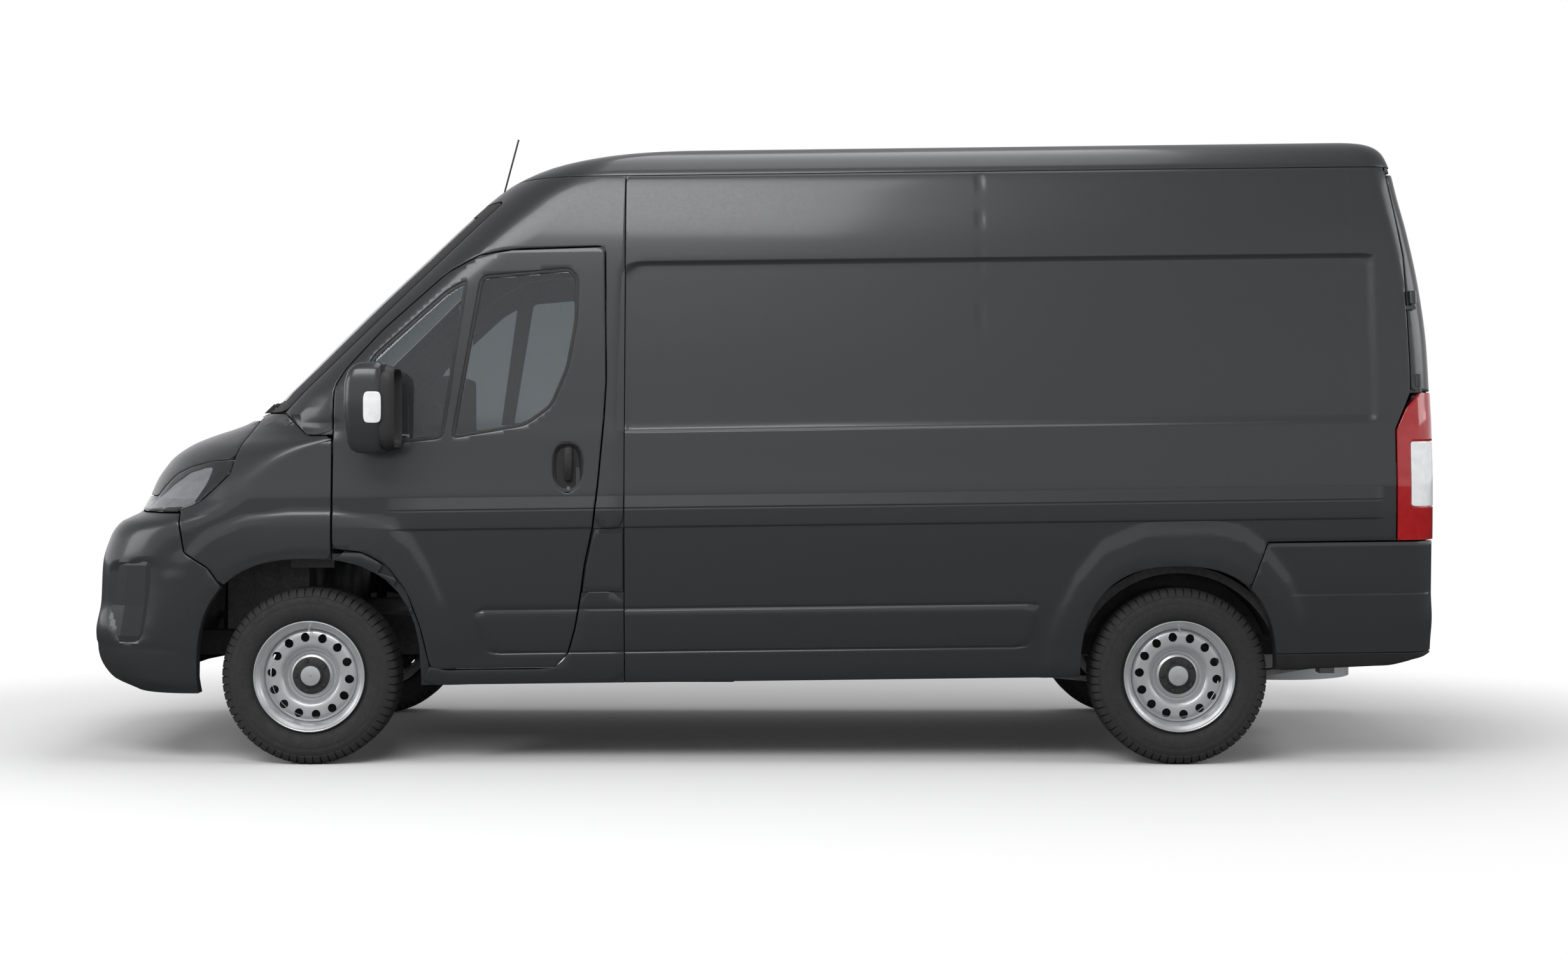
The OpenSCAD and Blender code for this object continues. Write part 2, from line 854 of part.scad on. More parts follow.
module cab_door_left()
{
    color("dimgray") cab_door();
    color("black") door_grip();
}

module cab_door_right()
{
    mirror([0, 1, 0]) cab_door_left();
}

// Quarter glass and drop glass of one cab door
module cab_glass()
{
    intersection() {
        difference() {
            skin(14 + glass_t, 11, 20);
            skin(14, 11, 20);
        }
        door_windows(-seat_gap, -far, -400);
    }
}

module cab_glass_left()
{
    color("lightsteelblue") cab_glass();
}

module cab_glass_right()
{
    mirror([0, 1, 0]) cab_glass_left();
}

// Door mirror: arm on the door's corner, housing with its glass side to the rear
mirror_x = axle_front + 275;
mirror_z = 1412;

module mirror_housing()
{
    hull() {
        for (z = [-140, 130])
            for (y = [-80, 80])
                translate([-62, y, z * (y < 0 ? 0.86 : 1)]) sphere(r = 38, $fn = 20);
        for (z = [-168, 166])
            for (y = [-98, 98])
                translate([62, y * 0.95, z * (y < 0 ? 0.9 : 1)])
                rotate([0, 90, 0]) cylinder(r = 16, h = 18, $fn = 20);
    }
}

module mirror_left()
{
    color("dimgray") {
        difference() {
            translate([mirror_x, -half_w - 113, mirror_z]) mirror_housing();
            translate([mirror_x + 74, -half_w - 213, mirror_z - 150])
            cube([20, 200, 300]);
        }
        mirror_arm();
    }
    color("silver")
    translate([mirror_x + 66, -half_w - 206, mirror_z - 145]) cube([7, 186, 290]);
}

// Short thick arm from the housing to the foot on the door
module mirror_arm()
{
    difference() {
        hull() {
            translate([mirror_x - 30, -half_w - 30, mirror_z - 130]) cube([70, 10, 60]);
            translate([mirror_x - 70, -half_w + 40, mirror_z - 142]) cube([130, 10, 90]);
        }
        grow_form();
    }
}

// Body form that a mirror's foot stops short of
module grow_form()
{
    translate([0, -seat_gap, 0]) form(0, 11, 16);
}

module mirror_right()
{
    mirror([0, 1, 0]) mirror_left();
}

// Lower and upper point of a rear door's leaning hinge axis
rear_hinge_low = [rear_x - 37, -half_w + 13, 800];
rear_hinge_high = [rear_x - 110, -half_w + 75, 2300];
rear_door_z = 604;

// Region of one rear door in the side view: above and beside the lamp
module rear_door_zone(g)
{
    difference() {
        union() {
            grown_prism(laid([[gap_x, 1424], [gap_x, 1500], [gap_x - 16, 1964],
                [gap_x - 71, 2302], [rear_x + 60, 2302], [rear_x + 60, 1424]]), g, -far, 0);
            grown_prism(laid([[rear_x - 92, rear_door_z - 50], [rear_x - 92, 1470],
                [rear_x + 60, 1470], [rear_x + 60, rear_door_z - 50]]),
                g, -lamp_y + 10, 0);
            grown_prism(laid([[rear_x - 280, 1400], [rear_x - 280, 2302],
                [rear_x + 60, 2302], [rear_x + 60, 1400]]), g, -post_y + shut, 0);
        }
        span_box([rear_x - 400, -shut / 2, 0], [rear_x + 100, far, 3000]);
    }
}

module rear_door()
{
    difference() {
        intersection() {
            skin(wall, 2, 22);
            rear_door_zone(-shut / 2);
        }
        intersection() {
            peel(8, 12, 20);
            translate([rear_x - 90, -half_w + 210, 1420]) cube([120, half_w - 290, 760]);
        }
        rear_leaf_room();
        span_box([rear_x - 200, -lamp_y - 20, 500], [rear_x - 27, -lamp_y + 26, up(1424, rear_x)]);
    }
    rear_hinges();
}

// Direction of the rear hinge axis as turns about x and y
module along_rear_axis(z)
{
    d = rear_hinge_high - rear_hinge_low;
    t = (z - rear_hinge_low[2]) / d[2];
    translate(rear_hinge_low + d * t)
    multmatrix([[1, 0, d[0] / d[2], 0], [0, 1, d[1] / d[2], 0], [0, 0, 1, 0], [0, 0, 0, 1]])
    children();
}

REAR_HINGES = [1500, 1830];

// Straps of a rear door to its pins
module rear_hinges()
{
    for (z = REAR_HINGES)
        difference() {
            hull() {
                along_rear_axis(z) cylinder(r = 15, h = 50);
                translate([8, 44, 0]) along_rear_axis(z) cylinder(r = 12, h = 50);
            }
            along_rear_axis(z - 5) cylinder(r = pin_r + pin_gap, h = 60);
        }
}

// Room in a rear door for the fixed leaves of its hinges
module rear_leaf_room()
{
    for (z = REAR_HINGES) {
        along_rear_axis(z - 30) cylinder(r = 78, h = 26);
        along_rear_axis(z - 30) cylinder(r = pin_r + pin_gap, h = 90);
    }
}

// Pins of the left rear door with their leaves to the corner post
module rear_pins()
{
    for (z = REAR_HINGES) {
        along_rear_axis(z - 24) cylinder(r = pin_r, h = 70);
        hull() {
            along_rear_axis(z - 24) cylinder(r = 12, h = 14);
            translate([-66, 20 + (z - 1500) * 0.03, 0]) along_rear_axis(z - 24)
            cylinder(r = 12, h = 14);
        }
    }
}

module rear_door_left()
{
    color("dimgray") rear_door();
}

module rear_door_right()
{
    mirror([0, 1, 0]) rear_door_left();
}

module tail_lamps()
{
    color("firebrick") {
        intersection() {
            skin(wall, 5, 17);
            both_sides() grown_prism(TAIL_LAMP, -seam / 2, -far, -lamp_y);
        }
        intersection() {
            difference() {
                form(20, 5, 17);
                form(50, 4, 18);
            }
            both_sides()
            span_box([gap_x - 62 - seam / 2 + seat_gap, -half_w, 1000],
                [gap_x - 50, -lamp_y, 1200]);
        }
    }
}

module rear_bumper()
{
    color("dimgray") {
        difference() {
            intersection() {
                skin(wall, 0, 8);
                grown_prism(REAR_BUMPER, -seam / 2, -far, far);
            }
            span_box([rear_x - 300, -lamp_y, up(rear_door_z - 50, rear_x) - 12],
                [rear_x + 60, lamp_y, 1200]);
            rear_arch(-far, far);
        }
        both_sides()
        span_box([rear_x - 90 + seat_gap, -rail_y - 66, 430],
            [rear_x - 50, -rail_y - 4, 490]);
    }
}

// Leaning pin of the fuel flap between two heights, close to the flap's rear edge
module flap_pin(r, z0, z1)
{
    spread = 10.6 / 250;
    translate([b_x - 10, -half_w + 15.2 - spread * (z0 - 676), up(z0, b_x)])
    multmatrix([[1, 0, 0, 0], [0, 1, -spread, 0], [0, 0, 1, 0], [0, 0, 0, 1]])
    cylinder(r = r, h = z1 - z0, $fn = 16);
}

module fuel_flap()
{
    color("dimgray")
    difference() {
        intersection() {
            skin(8, 4, 10);
            grown_prism(FLAP, 0, -far, -400);
        }
        flap_pin(1.6 + pin_gap, 600, 1000);
    }
}

module dashboard()
{
    color("dimgray") steering_column();
    color("dimgray")
    intersection() {
        form(110, 9, 17);
        union() {
            hull() {
                span_box([firewall_x + 45, -700, 1130], [firewall_x + 120, 700, 1238]);
                span_box([firewall_x + 330, -700, 1090], [firewall_x + 400, 700, 1165]);
                span_box([firewall_x + 250, -700, 960], [firewall_x + 300, 700, 1010]);
            }
            hull() {
                translate([firewall_x + 330, -390, 1170]) sphere(r = 40);
                translate([firewall_x + 330, -600, 1170]) sphere(r = 40);
                translate([firewall_x + 200, -390, 1170]) sphere(r = 60);
                translate([firewall_x + 200, -600, 1170]) sphere(r = 60);
            }
            span_box([firewall_x + 41, -690, 970], [firewall_x + 260, 690, 1180]);
        }
    }
}

wheel_pos = [firewall_x + 560, -490, 1200];
wheel_tilt = 55;
column_end = 290;

module steering_wheel()
{
    color("black")
    translate(wheel_pos) rotate([0, wheel_tilt, 0]) {
        rotate_extrude() translate([steering_wheel_d / 2 - 14, 0]) circle(r = 14);
        cylinder(r = 62, h = 34, center = true);
        for (a = [0, 90, 180, 270])
            rotate([0, 0, a]) translate([50, -16, -9])
            cube([steering_wheel_d / 2 - 66, 32, 18]);
        translate([0, 0, -150]) cylinder(r = 22, h = 140);
    }
}

// Column from the dashboard to the steering wheel
module steering_column()
{
    translate(wheel_pos) rotate([0, wheel_tilt, 0]) translate([0, 0, -column_end])
    cylinder(r = 30, h = column_end - 150 - seat_gap);
}

// One padded seat with its back and head restraint
module seat(w, y)
{
    x0 = firewall_x + 620;
    z0 = floor_z + seat_height;
    translate([x0, y, 0]) {
        translate([0, -w / 2, z0 - 120]) cube([500, w, 120]);
        hull() {
            translate([400, -w / 2 + 20, z0 + 0.3]) cube([110, w - 40, 20]);
            translate([530, -w / 2 + 50, z0 + 560]) cube([70, w - 100, 20]);
        }
        hull() {
            translate([545, -120, z0 + 620]) cube([60, 240, 20]);
            translate([560, -105, z0 + 780]) cube([50, 210, 20]);
        }
        for (dy = [-60, 60])
            translate([570, dy, z0 + 570]) cylinder(r = 7, h = 60);
        translate([60, -w / 2 + 60, floor_z + seat_gap])
        cube([380, w - 120, seat_height - 120]);
    }
}

module driver_seat()
{
    color("slategray") seat(seat_w, -490);
}

module passenger_bench()
{
    color("slategray") {
        seat(seat_w, 520);
        seat(seat_w - 60, 60);
    }
}

module bulkhead()
{
    color("gray")
    intersection() {
        form(wall + 4, 1, 21);
        span_box([b_x + 10, -half_w, floor_z + seat_gap], [b_x + 34, half_w, 2600]);
    }
}

module engine()
{
    color("gray") {
        span_box([axle_front - 470, -330, 470], [axle_front - 110, 330, 1000]);
        both_sides()
        span_box([axle_front - 380, -rail_y + seat_gap, 440], [axle_front - 280, -300, 490]);
    }
}

module fuel_tank()
{
    color("black") {
        hull() {
            span_box([axle_front + 1000, -440, 300], [axle_front + 1700, 120, 420]);
            span_box([axle_front + 1030, -410, 270], [axle_front + 1670, 90, 300]);
        }
        for (x = [axle_front + 1100, axle_front + 1560])
            span_box([x, -420, 420], [x + 60, 100, floor_z - 60 - seat_gap]);
    }
}

module exhaust()
{
    color("silver") {
        translate([axle_front + 500, 300, 380]) rotate([0, 90, 0]) cylinder(r = 28, h = 700);
        translate([axle_front + 1199, 300, 380]) rotate([0, 90, 0])
        cylinder(r = 105, h = 620);
        translate([axle_front + 1818, 300, 380]) rotate([0, 90, 0]) cylinder(r = 26, h = 240);
        for (x = [axle_front + 900, axle_front + 1500])
            translate([x, 300, 390]) cylinder(r = 12, h = floor_z - 60 - 390 - seat_gap);
    }
}

module spare_wheel()
{
    color("black") {
        translate([axle_rear + 560, 0, 270]) cylinder(r = tyre_r - 20, h = 170);
        translate([axle_rear + 560, 0, 300]) cylinder(r = 20, h = floor_z - 360 - seat_gap);
    }
}

spring_y = 600;

// Dead axle beam with its spindles, leaf springs and hanger brackets
module rear_axle()
{
    color("black") {
        translate([axle_rear, 0, tyre_r]) rotate([90, 0, 0])
        cylinder(r = 42, h = 2 * (track / 2 - 110), center = true);
        translate([axle_rear, 0, tyre_r]) rotate([90, 0, 0])
        cylinder(r = spindle_r, h = track + 40, center = true);
        both_sides() leaf_spring();
    }
}

// One curved leaf pack from its front hanger to the rear shackle
module leaf_spring()
{
    r = 3400;
    translate([axle_rear - 60, -spring_y + 32, tyre_r - 64 + r]) rotate([90, 0, 0])
    intersection() {
        difference() {
            cylinder(r = r, h = 64, $fn = 200);
            translate([0, 0, -1]) cylinder(r = r - 22, h = 66, $fn = 200);
        }
        translate([-760, -r - 10, 0]) cube([1480, 200, 64]);
    }
    translate([axle_rear - 75, -spring_y - 32, tyre_r - 70]) cube([150, 64, 80]);
    span_box([axle_rear - 840, -spring_y - 40, 330],
        [axle_rear - 770, -spring_y + 40, floor_z - 60 - seat_gap]);
    span_box([axle_rear + 630, -spring_y - 40, 330],
        [axle_rear + 690, -spring_y + 40, floor_z - 60 - seat_gap]);
}

// Crossmember with the lower arms and the struts that carry the knuckles
module front_subframe()
{
    color("black") {
        span_box([axle_front - 120, -rail_y - 40, 330],
            [axle_front + 160, rail_y + 40, 400 - seat_gap]);
        both_sides() {
            hull() {
                translate([axle_front, -kingpin_y, 196]) cylinder(r = 28, h = 26);
                span_box([axle_front - 100, -rail_y + 60, 196],
                    [axle_front + 140, -rail_y + 80, 222]);
            }
            span_box([axle_front - 100, -rail_y + 60, 196],
                [axle_front + 140, -rail_y + 90, 331]);
            translate([axle_front, -kingpin_y, 222]) cylinder(r = 10, h = 30);
            translate([axle_front, -kingpin_y, 482 + seat_gap])
            cylinder(r = 23, h = 780 - 482 - 2 * seat_gap);
        }
    }
}

// Upright on the kingpin axis with the spindle that carries a front wheel
module knuckle()
{
    difference() {
        union() {
            translate([axle_front, -kingpin_y, 222 + seat_gap])
            cylinder(r = 24, h = 260 - seat_gap);
            translate([axle_front, -kingpin_y, tyre_r]) rotate([90, 0, 0])
            cylinder(r = spindle_r, h = track / 2 - kingpin_y + 20);
            translate([axle_front, -kingpin_y + 20, tyre_r]) rotate([90, 0, 0])
            cylinder(r = 46, h = 56);
        }
        translate([axle_front, -kingpin_y, 220]) cylinder(r = 10 + seat_gap, h = 40);
    }
}

module knuckle_left()
{
    color("dimgray") knuckle();
}

module knuckle_right()
{
    mirror([0, 1, 0]) knuckle_left();
}

module rim_solid()
{
    difference() {
        rotate_extrude() rim_cross();
        for (k = [0:vent_count - 1])
            rotate([0, 0, k * 360 / vent_count + 8])
            translate([vent_ring_d / 2, 0, 30]) cylinder(d = vent_d, h = 50);
    }
}

// Half section of the steel wheel in radius and distance from its middle, outer side up
module rim_cross()
{
    polygon([
        [spindle_r + 0.08, -22], [62, -22], [72, 14], [106, 14], [120, 46], [176, 46],
        [181, 20], [181, -56], [192, -84], [rim_d / 2 - 6, -90], [rim_d / 2 - 6, -100],
        [rim_d / 2, -100], [rim_d / 2, -84], [200, -78], [189, -54], [189, 40],
        [200, 74], [rim_d / 2, 84], [rim_d / 2, 100], [rim_d / 2 - 6, 100],
        [rim_d / 2 - 8, 92], [200, 88], [186, 60], [176, 55], [116, 55], [102, 22],
        [84, 22], [78, 42], [44, 46], [41, 62], [spindle_r + 0.08, 62]
    ]);
}

module bolt_heads()
{
    for (k = [0:bolt_count - 1])
        rotate([0, 0, k * 360 / bolt_count])
        translate([bolt_pcd / 2 - 20, 0, 40]) cylinder(r = 10, h = 12, $fn = 6);
}

// Puts a wheel drawn with its outer side up at an axle and side, -1 left and 1 right
module at_wheel(x, s)
{
    translate([x, s * track / 2, tyre_r]) rotate([s > 0 ? -90 : 90, 0, 0]) children();
}

module rim(x, s)
{
    color("silver") at_wheel(x, s) {
        rim_solid();
        bolt_heads();
    }
}

module rim_front_left() { rim(axle_front, -1); }
module rim_front_right() { rim(axle_front, 1); }
module rim_rear_left() { rim(axle_rear, -1); }
module rim_rear_right() { rim(axle_rear, 1); }

// Tyre with its bulging side, shoulder and tread, seated on the rim
module tyre(x, s)
{
    h = tyre_w / 2;
    seat = rim_d / 2;
    color("black") at_wheel(x, s)
    rotate_extrude($fn = 96) polygon([
        [seat + 0.2, -h + 24], [seat + 22, -h + 6], [seat + 66, -h], [seat + 100, -h + 9],
        [tyre_r - 16, -h + 16], [tyre_r - 5, -h + 26], [tyre_r, -h + 44],
        [tyre_r, h - 44], [tyre_r - 5, h - 26], [tyre_r - 16, h - 16],
        [seat + 100, h - 9], [seat + 66, h], [seat + 22, h - 6], [seat + 0.2, h - 24],
        [seat + 0.2, 83.7], [201, 73.9], [189.4, 40.6], [189.4, -54], [201, -77.9],
        [seat + 0.2, -83.7]
    ]);
}

module tyre_front_left() { tyre(axle_front, -1); }
module tyre_front_right() { tyre(axle_front, 1); }
module tyre_rear_left() { tyre(axle_rear, -1); }
module tyre_rear_right() { tyre(axle_rear, 1); }

// Two wiper blades at the foot of the windscreen with their arms from the cowl
module wipers()
{
    color("black")
    difference() {
        union() {
            intersection() {
                form(-13, 13, 17);
                for (y = [-640, -30])
                    span_box([front_x, y, 1424], [axle_front, y + 560, 1437]);
            }
            intersection() {
                form(-20, 13, 17);
                for (y = [-590, 20])
                    span_box([front_x, y, 1397], [axle_front, y + 34, 1434]);
            }
        }
        form(-seat_gap, 12, 18);
    }
}

floor_pan();
body_side_left();
body_side_right();
roof();
cab_frame();
front_wings();
bonnet();
front_bumper();
grille();
headlamps();
windscreen();
cab_door_left();
cab_door_right();
cab_glass_left();
cab_glass_right();
mirror_left();
mirror_right();
sliding_door();
rear_door_left();
rear_door_right();
tail_lamps();
rear_bumper();
fuel_flap();
dashboard();
steering_wheel();
driver_seat();
passenger_bench();
bulkhead();
engine();
fuel_tank();
exhaust();
spare_wheel();
rear_axle();
front_subframe();
knuckle_left();
knuckle_right();
rim_front_left();
rim_front_right();
rim_rear_left();
rim_rear_right();
tyre_front_left();
tyre_front_right();
tyre_rear_left();
tyre_rear_right();
wipers();
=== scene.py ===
# %% [markdown]
# # A dark grey panel van in the studio
# The van's solids come in as a fixed frame, at real size and in metres. This lesson dresses them:
# it smooths the panels, mixes the finishes, adds the small trim, and lights the result.

# %% Load the frame
import bpy, bmesh, math
from functools import reduce
import numpy as np
from mathutils import Matrix, Vector


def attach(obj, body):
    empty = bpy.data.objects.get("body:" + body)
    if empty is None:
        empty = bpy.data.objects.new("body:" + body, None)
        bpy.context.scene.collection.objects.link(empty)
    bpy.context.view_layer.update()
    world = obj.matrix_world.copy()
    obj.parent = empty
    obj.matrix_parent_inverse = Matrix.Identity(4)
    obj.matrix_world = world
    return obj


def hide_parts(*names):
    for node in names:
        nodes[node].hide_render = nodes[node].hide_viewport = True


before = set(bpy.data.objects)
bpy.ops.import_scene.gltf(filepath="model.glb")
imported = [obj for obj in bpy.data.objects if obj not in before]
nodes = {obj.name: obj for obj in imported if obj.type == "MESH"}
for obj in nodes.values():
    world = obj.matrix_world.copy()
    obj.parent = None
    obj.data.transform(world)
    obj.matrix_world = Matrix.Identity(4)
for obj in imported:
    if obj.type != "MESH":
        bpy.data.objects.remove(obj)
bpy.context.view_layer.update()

# %% [markdown]
# ## Camera
# The picture was taken from the left with a level camera about ten metres away, at the height of
# the windows. A small downward shift keeps the camera level, so upright lines stay upright.

# %% Camera
HALF_W = 1.025
NOSE_X, TAIL_X = -2.7065, 2.7065
AXLE_F, AXLE_R = NOSE_X + 0.948, NOSE_X + 0.948 + 3.45
TYRE_R, TRACK = 0.350, 1.756
RAKE = 0.01204

camera_data = bpy.data.cameras.new("camera")
camera_data.lens = 54.9
camera_data.sensor_width = 36.0
camera_data.shift_y = -70 / 2464
camera = bpy.data.objects.new("camera", camera_data)
camera.location = (0.124, -10.45, 1.32)
camera.rotation_euler = (math.radians(90), 0, 0)
bpy.context.collection.objects.link(camera)
bpy.context.scene.camera = camera

# %% [markdown]
# ## Studio
# A white room: the floor and the surround show white to the camera. Glossy paint sees a near-black
# floor, a painted dark reflection, and a graded surround; soft area lamps give the shape and the
# shadow.

# %% Studio
scene = bpy.context.scene
scene.view_settings.view_transform = "Standard"
WHITE = (1, 1, 1, 1)
FLOOR_HALF = 40
GLOW_X, GLOW_Y = 4.2, 3.2


def add(tree, kind, inputs=None, **settings):
    """A node with settings of its own and values on its inputs."""
    node = tree.nodes.new(kind)
    for key, value in settings.items():
        setattr(node, key, value)
    for key, value in (inputs or {}).items():
        node.inputs[key].default_value = value
    return node


def wire(tree, *links):
    """Links nodes, each link given as node, output, node, input."""
    for source, output, target, socket in links:
        tree.links.new(source.outputs[output], target.inputs[socket])


def area_lamp(name, place, aim, size, power):
    """A soft rectangular lamp that looks at a point."""
    data = bpy.data.lights.new(name, "AREA")
    data.shape = "RECTANGLE"
    data.size, data.size_y = size
    data.energy = power
    lamp = bpy.data.objects.new(name, data)
    lamp.location = place
    lamp.rotation_euler = (Vector(aim) - Vector(place)).to_track_quat("-Z", "Y").to_euler()
    bpy.context.collection.objects.link(lamp)
    return lamp


area_lamp("key", (-2.5, -7.5, 6.5), (0, -0.5, 1.0), (7.0, 3.0), 420)
area_lamp("top", (0.5, 0.0, 7.5), (0, 0, 1.0), (8.0, 4.0), 240)
area_lamp("rear_fill", (7.5, -2.0, 3.5), (0, 0, 1.0), (4.0, 3.0), 120)
area_lamp("front_fill", (-8.0, -3.0, 3.0), (0, 0, 1.0), (4.0, 3.0), 120)

world = bpy.data.worlds.new("studio")
scene.world = world
world.use_nodes = True
tree = world.node_tree
tree.nodes.clear()
out = add(tree, "ShaderNodeOutputWorld")
mix = add(tree, "ShaderNodeMixShader")
path = add(tree, "ShaderNodeLightPath")
room = add(tree, "ShaderNodeBackground")
white = add(tree, "ShaderNodeBackground", {"Color": WHITE})
facing = add(tree, "ShaderNodeNewGeometry")
split = add(tree, "ShaderNodeSeparateXYZ")
shade = add(tree, "ShaderNodeValToRGB")
up = add(tree, "ShaderNodeMapRange", {"From Min": 1.0, "From Max": -1.0})
stops = shade.color_ramp.elements
stops[0].position, stops[0].color = 0.0, (0.02, 0.02, 0.02, 1)
stops[1].position, stops[1].color = 1.0, (0.30, 0.30, 0.31, 1)
for height, level in ((0.497, 0.03), (0.503, 0.95), (0.56, 0.80), (0.66, 0.42), (0.80, 0.30)):
    stop = stops.new(height)
    stop.color = (level, level, level * 1.02, 1)
wire(tree, (facing, "Incoming", split, 0), (split, "Z", up, "Value"),
     (up, "Result", shade, "Fac"), (shade, "Color", room, "Color"),
     (path, "Is Camera Ray", mix, 0), (room, 0, mix, 1), (white, 0, mix, 2), (mix, 0, out, 0))

floor_mesh = bpy.data.meshes.new("floor")
floor_mesh.from_pydata([(i * FLOOR_HALF, j * FLOOR_HALF, 0)
                        for i, j in ((-1, -1), (1, -1), (1, 1), (-1, 1))], [], [(0, 1, 2, 3)])
floor = bpy.data.objects.new("floor", floor_mesh)
bpy.context.collection.objects.link(floor)
floor_mat = bpy.data.materials.new("studio_floor")
floor_mat.use_nodes = True
floor_mesh.materials.append(floor_mat)
tree = floor_mat.node_tree
bsdf = tree.nodes["Principled BSDF"]
bsdf.inputs["Roughness"].default_value = 0.9
bsdf.inputs["Specular IOR Level"].default_value = 0.0
path = add(tree, "ShaderNodeLightPath")
# Glossy rays see the floor near-black (0.05 against 0.9): a painted dark floor reflection in the
# van's paint.
tint = add(tree, "ShaderNodeMix", {6: (0.9, 0.9, 0.9, 1), 7: (0.05, 0.05, 0.05, 1)},
           data_type="RGBA")
coord = add(tree, "ShaderNodeTexCoord")
squeeze = add(tree, "ShaderNodeVectorMath", {1: (1 / GLOW_X, 1 / GLOW_Y, 0)},
              operation="MULTIPLY")
reach = add(tree, "ShaderNodeVectorMath", operation="LENGTH")
fade = add(tree, "ShaderNodeMapRange", {"From Min": 0.75, "From Max": 1.25},
           interpolation_type="SMOOTHSTEP")
glow = add(tree, "ShaderNodeEmission", {"Color": WHITE})
only = add(tree, "ShaderNodeMath", operation="MULTIPLY")
blend = add(tree, "ShaderNodeMixShader")
wire(tree, (path, "Is Glossy Ray", tint, 0), (tint, 2, bsdf, "Base Color"),
     (coord, "Object", squeeze, 0), (squeeze, 0, reach, 0), (reach, "Value", fade, "Value"),
     (fade, "Result", only, 0), (path, "Is Camera Ray", only, 1), (only, 0, blend, 0),
     (bsdf, 0, blend, 1), (glow, 0, blend, 2),
     (blend, 0, tree.nodes["Material Output"], "Surface"))

# %% [markdown]
# ## Helpers for materials
# Each finish is one Principled shader. What changes over a surface, such as dust or grain, comes
# from small node groups that put out a mask or a height.

# %% Material helpers


def new_material(name, color, rough, metal=0.0, **extra):
    """A Principled material with plain values on its own sockets."""
    mat = bpy.data.materials.new(name)
    mat.use_nodes = True
    bsdf = mat.node_tree.nodes["Principled BSDF"]
    bsdf.inputs["Base Color"].default_value = (*color, 1)
    bsdf.inputs["Roughness"].default_value = rough
    bsdf.inputs["Metallic"].default_value = metal
    for key, value in extra.items():
        bsdf.inputs[key.replace("_", " ")].default_value = value
    return mat


def build_speckle():
    """Node group: fine speckle and broad dust as a colour factor and a roughness."""
    group = bpy.data.node_groups.new("speckle", "ShaderNodeTree")
    face = group.interface
    for name, default in (("Scale", 400.0), ("Low", 0.9), ("High", 1.1)):
        socket = face.new_socket(name, in_out="INPUT", socket_type="NodeSocketFloat")
        socket.default_value = default
    face.new_socket("Value", in_out="OUTPUT", socket_type="NodeSocketFloat")
    inside, outside = add(group, "NodeGroupInput"), add(group, "NodeGroupOutput")
    coord = add(group, "ShaderNodeTexCoord")
    noise = add(group, "ShaderNodeTexNoise", {"Detail": 3.0})
    spread = add(group, "ShaderNodeMapRange", {"From Min": 0.3, "From Max": 0.7})
    wire(group, (coord, "Object", noise, "Vector"), (inside, "Scale", noise, "Scale"),
         (noise, "Fac", spread, "Value"), (inside, "Low", spread, "To Min"),
         (inside, "High", spread, "To Max"), (spread, "Result", outside, "Value"))
    return group


SPECKLE = build_speckle()


def speckled(mat, scale, low, high, rough=None, bump=0.0):
    """Varies a material's colour, and if asked its roughness and relief, with the speckle."""
    tree = mat.node_tree
    bsdf = tree.nodes["Principled BSDF"]

    def spot(s, a, b):
        return add(tree, "ShaderNodeGroup", {"Scale": s, "Low": a, "High": b}, node_tree=SPECKLE)

    tint = add(tree, "ShaderNodeVectorMath", {0: bsdf.inputs["Base Color"].default_value[:3]},
               operation="SCALE")
    wire(tree, (spot(scale, low, high), "Value", tint, "Scale"), (tint, 0, bsdf, "Base Color"))
    if rough:
        wire(tree, (spot(scale * 0.13, *rough), "Value", bsdf, "Roughness"))
    if bump:
        relief = add(tree, "ShaderNodeBump", {"Strength": bump, "Distance": 0.001})
        wire(tree, (spot(scale, 0, 1), "Value", relief, "Height"), (relief, 0, bsdf, "Normal"))
    return mat


# %% [markdown]
# ## Finishes
# The van wears one dark grey paint on panels, bumpers and mirror shells. Trim is black plastic
# with a fine grain, the wheels are silver lacquer, and rubber is a dusty near-black.

# %% Finishes
PAINT = speckled(new_material("van_paint", (0.033, 0.0342, 0.037), 0.32, 0.25, Coat_Weight=0.35,
                              Coat_Roughness=0.12), 900, 0.93, 1.07, rough=(0.28, 0.36))
TRIM = speckled(new_material("black_trim", (0.012, 0.012, 0.013), 0.5), 700, 0.8, 1.25,
                rough=(0.42, 0.58), bump=0.25)
RUBBER = speckled(new_material("tyre_rubber", (0.018, 0.018, 0.018), 0.75), 220, 0.75, 1.3,
                  rough=(0.68, 0.85), bump=0.2)
WHEEL = speckled(new_material("wheel_silver", (0.56, 0.57, 0.58), 0.34, 0.65), 500, 0.94, 1.05,
                 rough=(0.3, 0.42))
CHASSIS = speckled(new_material("chassis_black", (0.02, 0.02, 0.021), 0.6), 60, 0.7, 1.4,
                   rough=(0.5, 0.75), bump=0.3)
INNER = speckled(new_material("inner_grey", (0.17, 0.175, 0.18), 0.55), 300, 0.92, 1.06,
                 rough=(0.5, 0.6))
CAST = speckled(new_material("cast_metal", (0.3, 0.3, 0.3), 0.5, 0.8), 180, 0.75, 1.2,
                rough=(0.4, 0.65), bump=0.5)
CLOTH = speckled(new_material("seat_cloth", (0.05, 0.052, 0.057), 0.9, Sheen_Weight=0.3),
                 900, 0.6, 1.5, bump=0.5)
MIRROR = new_material("mirror_glass", (0.75, 0.77, 0.8), 0.03, 1.0)
LENS_RED = speckled(new_material("lens_red", (0.32, 0.012, 0.014), 0.12, Coat_Weight=0.6),
                    30, 0.9, 1.1)
LENS_WHITE = speckled(new_material("lens_white", (0.72, 0.73, 0.74), 0.15, Coat_Weight=0.6),
                      30, 0.93, 1.05)
